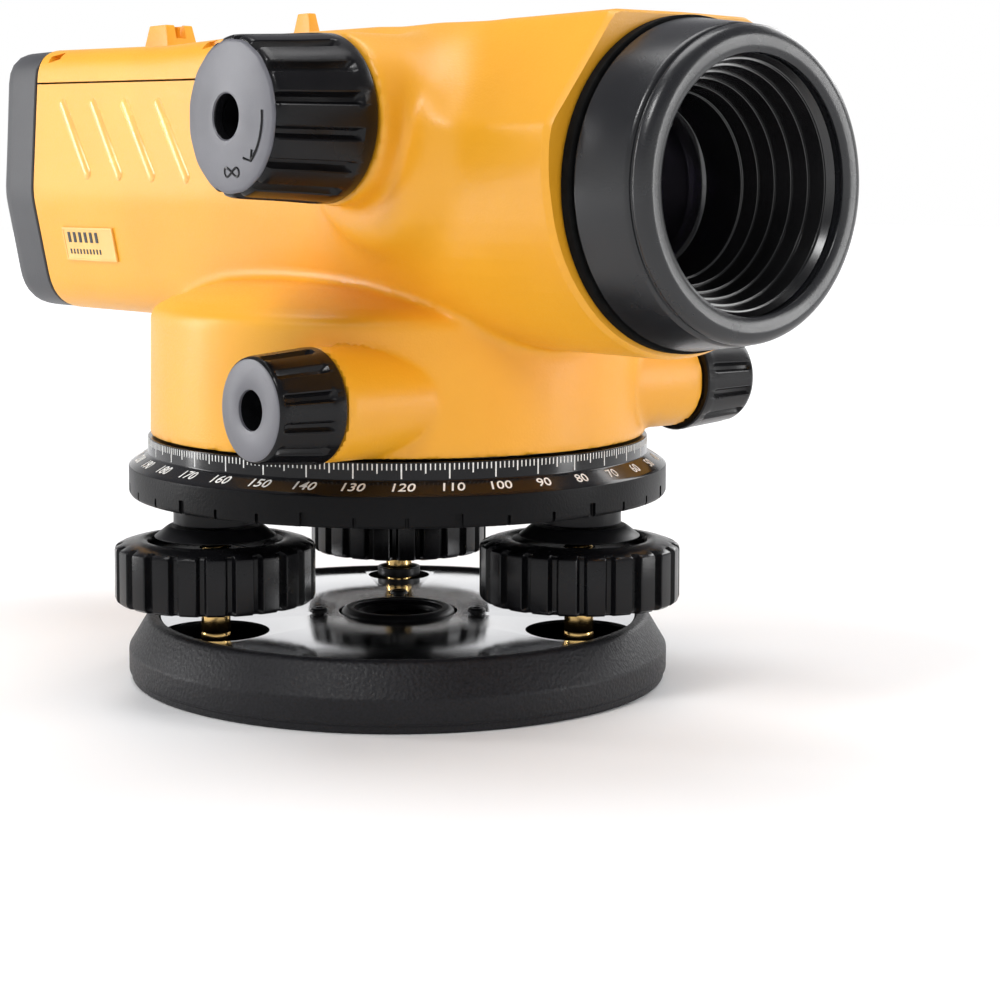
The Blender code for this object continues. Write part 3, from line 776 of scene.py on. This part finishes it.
def field_mesh(name, field, low, high, step):
    """Surface nets over a grid, then each vertex is slid onto the field's zero surface."""
    axes = [np.arange(a, b + step, step) for a, b in zip(low, high)]
    shape = [len(axis) for axis in axes]
    values = np.empty(shape, np.float32)
    for i, x in enumerate(axes[0]):
        y, z = np.meshgrid(axes[1], axes[2], indexing="ij")
        values[i] = field(np.full_like(y, x), y, z)
    inside = values < 0
    count = np.zeros([n - 1 for n in shape], np.int8)
    for i in (0, 1):
        for j in (0, 1):
            for k in (0, 1):
                count += inside[i:shape[0] - 1 + i, j:shape[1] - 1 + j, k:shape[2] - 1 + k]
    active = (count > 0) & (count < 8)
    index = np.full(active.shape, -1, np.int64)
    index[active] = np.arange(active.sum())
    cells = np.argwhere(active)
    points = np.array(low) + (cells + 0.5) * step

    def settle(spots, rounds):
        for _ in range(rounds):
            value = field(*spots.T)
            gradient = np.empty_like(spots)
            for a in range(3):
                offset = np.zeros(3)
                offset[a] = 0.02
                gradient[:, a] = (field(*(spots + offset).T) - field(*(spots - offset).T)) / 0.04
            size = np.maximum((gradient**2).sum(1), 0.05)
            spots = spots - (np.clip(value / size, -step, step)[:, None]) * gradient
        return spots

    points = settle(points, 4)
    quads = []
    for a in range(3):
        b, c = (a + 1) % 3, (a + 2) % 3
        first = [slice(None)] * 3
        second = [slice(None)] * 3
        first[a], second[a] = slice(0, -1), slice(1, None)
        one, two = inside[tuple(first)], inside[tuple(second)]
        for sign, crossing in ((1, one & ~two), (-1, ~one & two)):
            where = np.argwhere(crossing)
            where = where[(where[:, b] > 0) & (where[:, c] > 0)
                          & (where[:, b] < shape[b] - 1) & (where[:, c] < shape[c] - 1)]
            corners = []
            for db, dc in ((-1, -1), (0, -1), (0, 0), (-1, 0)):
                cell = where.copy()
                cell[:, b] += db
                cell[:, c] += dc
                corners.append(index[tuple(cell.T)])
            quad = np.stack(corners, 1)
            quads.append(quad if sign > 0 else quad[:, ::-1])
    faces = np.concatenate(quads)
    starts, ends = faces.ravel(), np.roll(faces, -1, axis=1).ravel()
    degree = np.maximum(np.bincount(starts, minlength=len(points)), 1)[:, None]
    for _ in range(2):
        mean = np.stack([np.bincount(starts, points[ends, a], len(points)) for a in range(3)], 1) / degree
        points = settle(points * 0.5 + mean * 0.5, 1)
    mesh = bpy.data.meshes.new(name)
    mesh.from_pydata(((points + np.array(STAND)) * MM).tolist(), [], faces.tolist())
    mesh.update()
    return mesh


def above_seam(end, lift):
    """The space over the lid seam, which falls towards the front."""
    rings = []
    for x in (HOUSING_REAR - 5, end):
        z = LID_Z + lift - LID_FALL * (x - HOUSING_REAR) / (LID_FRONT - HOUSING_REAR)
        rings.append([(x, -45, z), (x, 45, z), (x, 45, 140), (x, -45, 140)])
    mesh = skin("above_seam", rings)
    mesh.transform(at())
    return mesh


def table_ring(table, x, inset, count=144):
    """An outline of the telescope as a ring across it, moved in by inset."""
    ring = []
    for k in range(count):
        angle = 2 * pi * k / count
        radius = float(np.interp(min(angle, 2 * pi - angle), *table)) - inset
        ring.append((x, radius * sin(angle), AXIS_Z + radius * cos(angle)))
    return ring


def front_collar():
    """What is taken off round the front edge: everything outside its chamfer."""
    rings = [table_ring(FRONT_TABLE, x, inset) for x, inset in (
        (HOUSING_FRONT - 8.0, -3.8), (HOUSING_FRONT - 1.1, 0.0), (HOUSING_FRONT + 2.0, 1.7))]
    rings += [table_ring(FRONT_TABLE, x, -20.0) for x in (HOUSING_FRONT + 2.0, HOUSING_FRONT - 8.0)]
    mesh = skin("front_collar", rings, loop=True)
    mesh.transform(at())
    return mesh


def make_housing():
    step = 0.9
    low, high = (HOUSING_REAR - 5, -50, 45), (HOUSING_FRONT + 5, 50, 130)
    shell = loose(field_mesh("housing", housing_field, low, high, step))
    for low, high in ((HOUSING_REAR - 9, HOUSING_REAR), (HOUSING_FRONT, HOUSING_FRONT + 9)):
        cut(shell, box_mesh((low, -60, 40), (high, 60, 140)))
    cut(shell, front_collar())
    cut(shell, cylinder(TELESCOPE_BORE, HOUSING_REAR - 3, HOUSING_FRONT + 3, z=AXIS_Z, axis="X", steps=128))
    cut(shell, cylinder(NECK_BORE, 40.0, 66.6, steps=160))
    cut(shell, cylinder(SHAFT_HOLE, -60, 60, TANGENT.x, 0, TANGENT.z, "Y", 48))
    cut(shell, cylinder(SHAFT_HOLE, -60, -8, FOCUS.x, 0, FOCUS.z, "Y", 48))
    for x in (HOUSING_REAR + 5.6, LID_FRONT - 3.0):
        for side in (-1, 1):
            notch = plain_box((-2.3, -3.0, -0.75), (2.3, 3.0, 0.75), 0.15)
            notch.transform(at(x, side * 25.6, 124.9) @ Matrix.Rotation(radians(-9), 4, "Y"))
            cut(shell, notch)
    lid = loose(shell.data.copy())
    cut(lid, above_seam(LID_FRONT, 0.0), "INTERSECT")
    cut(shell, above_seam(LID_FRONT + 0.4, -0.4))
    piece("telescope_housing", taken(shell), YELLOW, "telescope", ["main_housing"], sharp=40)
    piece("rear_cover", taken(lid), YELLOW, "telescope", ["rear_lid"], sharp=40)


def rib_mesh(length):
    """A round-ended bar along z: a flattened ball pulled apart at its middle."""
    bm = bmesh.new()
    bmesh.ops.create_uvsphere(bm, u_segments=24, v_segments=16, radius=1.55 * MM)
    half = length / 2 * MM
    for vertex in bm.verts:
        vertex.co.z += half if vertex.co.z > 1e-6 else -half if vertex.co.z < -1e-6 else 0
    middle_ring = [v for v in bm.verts if abs(v.co.z) < 1e-6]
    bmesh.ops.delete(bm, geom=middle_ring, context="VERTS")
    bmesh.ops.bridge_loops(bm, edges=[e for e in bm.edges if e.is_boundary])
    bmesh.ops.scale(bm, vec=(1, 0.8, 1), verts=bm.verts)
    return finished(bm, "rib")


def side_ribs():
    """Four slanted ribs with round ends on each flank."""
    pitch, fall = 13.2, 0.35
    meshes = []
    for side in (-1, 1):
        for number in range(4):
            low = Vector((-73.2 + pitch * number, 99.3 - fall * number))
            high = Vector((-85.2 + pitch * number, 114.2 - fall * number))
            middle = (low + high) / 2
            lean = Matrix.Rotation(side * radians(3.0), 4, "X")
            slant = Matrix.Rotation(atan2((high - low).x, (high - low).y), 4, "Y")
            mesh = rib_mesh((high - low).length)
            mesh.transform(at(middle.x, side * 26.8, middle.y) @ lean @ slant)
            meshes.append(mesh)
    # The ribs' paler yellow is a painted highlight on their rounded tops; their lower roughness is real shine
    piece("flank_ribs", joined("ribs", meshes), PALE, "telescope")


def circle_ring(x, radius, count=120):
    """A circle round the sight line."""
    angles = [2 * pi * k / count for k in range(count)]
    return [(x, radius * sin(a), AXIS_Z + radius * cos(a)) for a in angles]


def make_bezel():
    rear = span("rear_bezel", 0)[0] - STAND.x
    front = HOUSING_REAR - 1.2
    stations = [(front, 0.9), (front - 0.05, 0.35), (front - 0.3, 0.12), (-108.0, 0.15), (rear + 3.2, 0.3),
                (rear + 1.8, 0.75), (rear + 0.8, 1.6), (rear + 0.2, 2.9), (rear, 4.6), (rear, 7.0)]
    rings = [table_ring(REAR_TABLE, x, inset, 120) for x, inset in stations]
    for x, radius in ((rear, 19.0), (rear, 17.2), (rear + 0.4, 16.6), (rear + 2.0, 16.2), (rear + 2.2, 15.2),
                      (front, 15.2)):
        rings.append(circle_ring(x, radius))
    mesh = skin("bezel", rings, loop=True)
    piece("tail_bezel", mesh, TAIL, "telescope", ["rear_bezel"], place=at())
    low, high = front - 0.1, HOUSING_REAR + 0.4
    rings = [table_ring(REAR_TABLE, low, 1.0, 120), table_ring(REAR_TABLE, high, 1.0, 120),
             circle_ring(high, 18.0), circle_ring(low, 18.0)]
    piece("tail_gasket", skin("gasket", rings, loop=True), SEAL, "telescope", ["bezel_gasket"],
          place=at())


# Objective end
HOOD_REAR, HOOD_FRONT = (value - STAND.x for value in span("objective_hood", 0))


def make_objective():
    outline = [
        (21.9, HOOD_REAR + 0.1), (27.4, HOOD_REAR + 0.1), (27.9, HOOD_REAR + 0.6), (26.55, 92.3),
        (26.2, 92.75), (25.75, 92.9), (25.7, 93.3), (26.2, 93.55), (26.25, 94.0), (25.9, 94.9), (25.2, 95.6),
        (24.2, HOOD_FRONT), (22.4, 95.85), (21.5, 95.4), (21.4, 95.0), (21.9, 94.0),
    ]
    piece("front_hood", turned("hood", outline, 192, 0.4), GREY, "telescope", ["objective_hood"],
          sharp=60, place=SIGHT_LINE)
    seal = turned("seal", [(24.2, 79.4), (28.4, 79.4), (28.4, 81.3), (28.0, 81.5), (24.2, 81.5)], 160, 0.2)
    piece("front_gasket", seal, SEAL, "telescope", ["hood_gasket"], place=SIGHT_LINE)
    outer = [(21.6, 93.4), (21.6, 58.6), (14.8, 58.6), (14.8, 64.4)]
    rise, tread = 0.95, 2.95
    steps = []
    for number in range(5):
        radius, front = 20.5 - rise * number, 92.0 - tread * number
        steps += [(radius + 0.4, front), (radius, front), (radius - 0.5, front - tread)]
    steps += [(15.75, 77.2), (15.6, 76.2), (15.1, 72.0)]
    mesh = turned("baffle", outer + steps[::-1], 144, 0.15)
    piece("light_trap", mesh, BAFFLE, "telescope", ["hood_baffle"], sharp=25,
          place=SIGHT_LINE)
    ring = turned("ring", [(14.9, 66.0), (14.2, 66.0), (14.2, 69.2), (14.75, 69.8), (14.9, 69.8)], 160, 0.1)
    piece("retaining_ring", ring, GLOSS, "telescope", place=SIGHT_LINE)
    cell = turned("cell", [(17.2, 49.0), (23.6, 49.0), (23.6, 58.2), (17.2, 58.2)], 96, 0.3)
    piece("front_cell", cell, BAFFLE, "telescope", ["objective_cell"], place=SIGHT_LINE)
    lens = solid("lens", [(0, 58.0), (6.0, 57.7), (11.0, 56.9), (16.0, 55.6), (16.8, 55.2), (16.8, 52.0),
                          (9.0, 51.0), (0, 50.6)], 96, 0.6)
    piece("front_lens", lens, LENS, "telescope", ["objective_lens"], place=SIGHT_LINE)


# Knobs on the telescope
# One flute of a knob on the telescope, with a broad land and a narrow groove.
GROOVE = ((0.0, 0), (0.15, 0), (0.28, 0), (0.32, 0.15), (0.36, 0.65), (0.43, 1), (0.57, 1), (0.64, 0.65),
          (0.68, 0.15), (0.72, 0), (0.85, 0))


FOCUS_FLUTES = 15
FOCUS_LINE = at(FOCUS.x, 0, FOCUS.z, "Y")


def stroke(points, width, height_at):
    """A drawn line on the focusing knob's face: (x, z) points from the knob's axis."""
    curve = bpy.data.curves.new("stroke", "CURVE")
    curve.dimensions = "3D"
    curve.bevel_depth = width / 2 * MM
    curve.bevel_resolution = 2
    curve.use_fill_caps = True
    spline = curve.splines.new("POLY")
    spline.points.add(len(points) - 1)
    for spot, (x, z) in zip(spline.points, points):
        spot.co = (*(Vector((FOCUS.x + x, height_at(hypot(x, z)), FOCUS.z + z)) + STAND) * MM, 1)
    return mesh_of(curve)


def make_focus_grip():
    tip, root = span("focus_knob_cap", 1)[0] - STAND.y, span("focus_knob", 1)[1] - STAND.y
    stations = [
        (root, 13.9, 0), (root - 0.2, 14.45, 0), (root - 0.7, 14.72, 0), (root - 2.8, 14.68, 0),
        (root - 3.3, 14.66, 0.35), (root - 3.8, 14.64, 0.8), (root - 4.4, 14.6, 1), (root - 10, 14.2, 1),
        (tip + 3.3, 13.8, 1), (tip + 2.2, 13.7, 1), (tip + 1.75, 13.5, 0.9), (tip + 1.45, 13.1, 0.5),
        (tip + 1.4, 12.7, 0.2),
    ]
    bore = [(12.3, tip + 1.4), (12.2, tip + 2.1), (3.75, tip + 2.1), (3.75, -52.0), (2.7, -52.0), (2.7, root)]
    knob = fluted("knob", stations, bore, FOCUS_FLUTES, GROOVE, 1.3)
    piece("focus_grip", knob, GRIP, "focus_drive", ["focus_knob"], sharp=30, place=FOCUS_LINE)


def make_focus_face():
    """The grey disc in the knob's end, with a black bore and an edge that follows the flutes."""
    tip = span("focus_knob_cap", 1)[0] - STAND.y
    steps = 288
    rim = [13.1 + 0.06 * cos(FOCUS_FLUTES * 2 * pi * k / steps) for k in range(steps)]
    edge = [(0.93, 1.8), (0.985, 1.4), (0.985, 1.15), (0.97, 1.0), (0.94, 0.9)]
    crown = [(9.5, 0.62), (6.5, 0.25), (4.5, 0.02), (4.1, 0.0), (3.85, 0.2), (3.75, 0.5)]
    rings = [hoop([3.75] * steps, tip + 1.8)]
    rings += [hoop([r * share for r in rim], tip + depth) for share, depth in edge]
    rings += [hoop([radius] * steps, tip + depth) for radius, depth in crown]
    face = piece("focus_face", skin("face", rings, loop=True), FACE, "focus_drive",
                 ["focus_knob_cap"], sharp=40, place=FOCUS_LINE)
    recolour(face, BAND, lambda middle: hypot(middle.x - FOCUS.x, middle.z - FOCUS.z) < 3.8)


def make_focus_marks():
    """A curved arrow and an infinity sign, laid on the slightly coned face."""
    tip = span("focus_knob_cap", 1)[0] - STAND.y

    def on_face(radius):
        return 0.95 * (radius - 4.3) / 7.0 + tip - 0.05

    arc = [(9.9 * cos(radians(a)), 9.9 * sin(radians(a))) for a in range(5, -50, -3)]
    tail = arc[-1]
    barb = [(tail[0] - 1.9, tail[1] + 0.5), tail, (tail[0] + 0.5, tail[1] + 1.9)]
    turns = [2 * pi * k / 48 for k in range(49)]
    infinity = [(0.9 + 2.1 * sin(t), 0.75 * sin(2 * t) - 9.3) for t in turns]
    marks = [stroke(arc, 0.55, on_face), stroke(barb, 0.5, on_face), stroke(infinity, 0.45, on_face)]
    piece("focus_marks", joined("marks", marks), BAND, "focus_drive")


def make_focus_shaft():
    profile = [(0, -2.0), (2.2, -2.0), (2.2, -11.0), (2.4, -12.0), (2.4, -51.0), (0, -51.0)]
    shaft = solid("shaft", profile, 48, 0.2)
    piece("focus_pinion", shaft, STEEL, "focus_drive", ["focus_shaft"], place=FOCUS_LINE)


def make_tangent_knobs():
    place = at(TANGENT.x, 0, TANGENT.z, "Y")
    for name, node in (("near", "tangent_knob_near"), ("far", "tangent_knob_far")):
        low, high = (value - STAND.y for value in span(node, 1))
        root, tip = (high, low) if name == "near" else (low, high)
        way = 1 if tip > root else -1
        root_end = [(0, 9.6, 0), (0.15, 10.1, 0), (0.5, 10.3, 0), (2.0, 10.25, 0), (2.4, 10.2, 0.35),
                    (2.8, 10.15, 0.8), (3.3, 10.1, 1)]
        tip_end = [(2.2, 9.45, 1), (1.5, 9.4, 0.8), (1.1, 9.35, 0.25), (0.8, 9.3, 0.05), (0.35, 9.1, 0),
                   (0.1, 8.8, 0), (0, 8.4, 0)]
        stations = [(root + way * depth, radius, share) for depth, radius, share in root_end]
        stations += [(tip - way * depth, radius, share) for depth, radius, share in tip_end]
        recess = [(4.0, 0), (3.6, 0.1), (3.5, 0.5), (3.5, 5), (2.7, 5)]
        bore = [(radius, tip - way * depth) for radius, depth in recess] + [(2.7, root)]
        knob = fluted("knob", stations, bore, 12, GROOVE, 0.95)
        made = piece(f"slow_motion_{name}", knob, GRIP, "tangent_drive", [node],
                     sharp=30, place=place)

        def on_face(middle):
            radius = hypot(middle.x - TANGENT.x, middle.z - TANGENT.z)
            return abs(middle.y - tip) < 0.4 and 3.4 < radius < 8.7

        recolour(made, FACE if name == "near" else SILVER, on_face)
    shaft = solid("shaft", [(0, 51.5), (2.4, 51.5), (2.4, 6.0), (2.5, 5.4), (2.5, -5.4), (2.4, -6.0),
                            (2.4, -51.0), (0, -51.0)], 48, 0.1)
    piece("slow_motion_shaft", shaft, STEEL, "tangent_drive", ["tangent_shaft"], place=place)


# Eyepiece
def make_eyepiece():
    rear = span("eyepiece_ring", 0)[0] - STAND.x
    stations = [
        (-107.0, 13.4, 0), (-107.2, 14.2, 0), (-107.6, 14.4, 0), (-111.6, 14.4, 0), (-112.0, 14.3, 0.6),
        (-112.4, 14.3, 1), (rear + 1.6, 13.9, 1), (rear + 1.1, 13.8, 0.6), (rear + 0.6, 13.5, 0),
        (rear + 0.2, 13.0, 0), (rear, 12.2, 0),
    ]
    bore = [(10.9, rear), (10.4, rear + 0.2), (9.7, rear + 1.1), (9.4, rear + 1.6), (9.4, -107.0)]
    knurl = ((0.0, 0), (0.35, 0), (0.5, 0.8), (0.68, 1), (0.85, 0.8))
    piece("dioptre_grip", fluted("grip", stations, bore, 44, knurl, 0.7), GRIP, "eyepiece_grip",
          ["eyepiece_ring"], sharp=30, place=SIGHT_LINE)
    barrel = turned("barrel", [(6.4, -114.9), (8.6, -114.9), (9.0, -114.5), (9.0, -86.0), (7.0, -86.0),
                               (7.0, -112.9), (6.4, -113.3)], 96, 0.15)
    piece("eye_tube", barrel, HEAD, "eyepiece", ["eyepiece_barrel"], place=SIGHT_LINE)
    lens = solid("lens", [(0, -107.4), (6.6, -108.4), (6.6, -111.6), (4.0, -112.8), (0, -113.2)], 64, 0.4)
    piece("eye_lens", lens, LENS, "eyepiece", ["eyepiece_lens"], place=SIGHT_LINE)


# Sights and label
def wedge(x, low_size, high_size, base, top):
    """A tapered block: sizes are (length, width) at its foot and head."""
    bm = bmesh.new()
    bmesh.ops.create_cube(bm, size=1.0)
    for vertex in bm.verts:
        size = high_size if vertex.co.z > 0 else low_size
        vertex.co.x = x + vertex.co.x * size[0]
        vertex.co.y *= size[1]
        vertex.co.z = top if vertex.co.z > 0 else base
    bmesh.ops.bevel(bm, geom=bm.edges[:], offset=0.3, segments=3, profile=0.6, affect="EDGES")
    bmesh.ops.scale(bm, vec=(MM, MM, MM), verts=bm.verts)
    mesh = finished(bm, "wedge")
    mesh.transform(at())
    return mesh


def make_sights():
    """A notched block at the rear and a plain one in front, both sunk a little into the barrel."""
    base, notch_floor = 125.4, 129.6
    top = span("rear_sight", 2)[1]
    middle = sum(span("rear_sight", 0)) / 2 - STAND.x
    block = loose(wedge(middle, (11.4, 8.4), (6.9, 7.0), base, top))
    cut(block, box_mesh((middle - 9, -1.3, notch_floor), (middle + 9, 1.3, 140)))
    cut(block, box_mesh((middle - 1.2, -2.4, notch_floor), (middle + 2.6, 2.4, 140)))
    piece("rear_open_sight", taken(block), YELLOW, "telescope", ["rear_sight"])
    middle = sum(span("front_sight", 0)) / 2 - STAND.x
    top = span("front_sight", 2)[1]
    piece("front_open_sight", wedge(middle, (7.4, 3.2), (3.9, 1.9), base, top), YELLOW, "telescope",
          ["front_sight"])


def make_label():
    """A name plate with a thin rim and two rows of plain bars where the lettering would be."""
    lay = at(-75.6, -26.05, 84.0) @ Matrix.Rotation(radians(11.6), 4, "X")
    plate = loose(plain_box((-10.7, -0.25, -3.7), (10.7, 0.25, 3.7), 0.15))
    cut(plate, plain_box((-10.25, -0.6, -3.25), (10.25, -0.13, 3.25), 0.05))
    piece("blank_label", taken(plate), PALE, "telescope", ["label_plate"], place=lay)
    bars = []
    rows = ((0.35, 2.3, 1.15, 6), (-2.2, 1.1, 0.55, 10))
    for low, height, width, number in rows:
        pitch = 14.0 / number
        for k in range(number):
            x = -8.6 + pitch * k
            bars.append(plain_box((x, -0.22, low), (x + width, -0.11, low + height), 0.04))
    piece("label_bars", joined("bars", bars), GREY, "telescope", place=lay)


# Carried-over nodes
def dress(look, *names):
    for name in names:
        node = frame["nodes"][name]
        node.data.materials.clear()
        node.data.materials.append(look)
        node.data.shade_smooth()
        node.data.set_sharp_from_angle(angle=radians(30))


dress(HEAD, "neck_floor", "reticle_cell", "focus_cell", "vial_holder")
dress(BRASS, "worm_wheel", "pivot_bush", "pendulum_arm", "vial_screw_1", "vial_screw_2", "vial_screw_3")
dress(STEEL, "compensator_frame", "damping_magnet")
dress(LENS, "focus_lens", "pendulum_prism")
dress(VIAL, "circular_vial")


# Floor, light and camera
def make_stage():
    bpy.ops.mesh.primitive_plane_add(size=8.0, location=(0, 0, 0))
    floor = bpy.context.object
    floor.name = "studio_floor"
    look = material("pale_floor", (0.9, 0.9, 0.9), 0.6, Specular_IOR_Level=0.1)
    nodes, links = look.node_tree.nodes, look.node_tree.links
    colour_by(look, noise(look, 300.0), 0.3, 0.7, (0.90, 0.92))
    away = nodes.new("ShaderNodeVectorMath")
    away.operation = "LENGTH"
    links.new(nodes.new("ShaderNodeTexCoord").outputs["Object"], away.inputs[0])
    glow = nodes.new("ShaderNodeMapRange")
    glow.inputs["From Min"].default_value, glow.inputs["From Max"].default_value = 0.35, 1.6
    glow.inputs["To Min"].default_value, glow.inputs["To Max"].default_value = 0.0, 0.9
    links.new(away.outputs["Value"], glow.inputs["Value"])
    look.node_tree.nodes["Principled BSDF"].inputs["Emission Color"].default_value = (1, 1, 1, 1)
    links.new(glow.outputs["Result"], nodes["Principled BSDF"].inputs["Emission Strength"])
    floor.data.materials.append(look)
    bpy.context.scene.view_settings.view_transform = "Standard"
    world = bpy.data.worlds.new("studio")
    world.use_nodes = True
    nodes, links = world.node_tree.nodes, world.node_tree.links
    way, split, sky = (nodes.new(f"ShaderNode{kind}") for kind in ("TexCoord", "SeparateXYZ", "ValToRGB"))
    sky.color_ramp.elements[0].position, sky.color_ramp.elements[1].position = 0.12, 0.45
    sky.color_ramp.elements[0].color = (1, 1, 1, 1)
    sky.color_ramp.elements[1].color = (0.26, 0.26, 0.28, 1)
    links.new(way.outputs["Generated"], split.inputs["Vector"])
    links.new(split.outputs["Z"], sky.inputs["Fac"])
    links.new(sky.outputs["Color"], nodes["Background"].inputs["Color"])
    bpy.context.scene.world = world


def area_light(name, place, target, size, power):
    light = bpy.data.lights.new(name, "AREA")
    light.shape = "RECTANGLE"
    light.size, light.size_y = size
    light.energy = power
    made = placed(name, light)
    made.location = place
    made.rotation_euler = (Vector(target) - Vector(place)).to_track_quat("-Z", "Y").to_euler()


def make_camera():
    """The photograph's view: a long lens low on the right of the objective end."""
    azimuth, pitch = radians(51.48), radians(4.82)
    back = Vector((sin(azimuth), -cos(azimuth), 0))
    right = Vector((cos(azimuth), sin(azimuth), 0))
    place = back * 429.04 + right * 6.0 + Vector((0, 0, 96.39)) + STAND
    forward = Vector((-sin(azimuth) * cos(pitch), cos(azimuth) * cos(pitch), -sin(pitch)))
    data = bpy.data.cameras.new("camera")
    data.sensor_width = 36.0
    data.lens = 78.13
    data.shift_x, data.shift_y = 0.072, -0.13
    data.clip_start, data.clip_end = 0.01, 20.0
    camera = placed("camera", data)
    turn = forward.to_track_quat("-Z", "Y").to_matrix().to_4x4()
    camera.matrix_world = Matrix.Translation(place * MM) @ turn
    bpy.context.scene.camera = camera


make_casting()
make_spring_plate()
make_hub()
make_plate_fittings()
make_head()
make_foot_screws()
make_circle()
make_degree_marks()
make_degree_numbers()
make_housing()
side_ribs()
make_bezel()
make_objective()
make_focus_grip()
make_focus_face()
make_focus_marks()
make_focus_shaft()
make_tangent_knobs()
make_eyepiece()
make_sights()
make_label()
make_stage()
area_light("key", (0.25, -0.75, 0.95), (0, 0, 0.08), (0.35, 0.25), 5.4)
area_light("left", (-0.78, -0.66, 0.22), (0, 0, 0.09), (0.12, 0.8), 5.4)
area_light("front", (0.72, 0.62, 0.22), (0, 0, 0.09), (0.16, 0.6), 2.8)
area_light("back", (-0.1, 0.9, 0.5), (0, 0, 0.1), (0.7, 0.4), 4.5)
area_light("top", (-0.1, 0.1, 1.0), (0, 0, 0.1), (0.7, 0.5), 5.0)
make_camera()
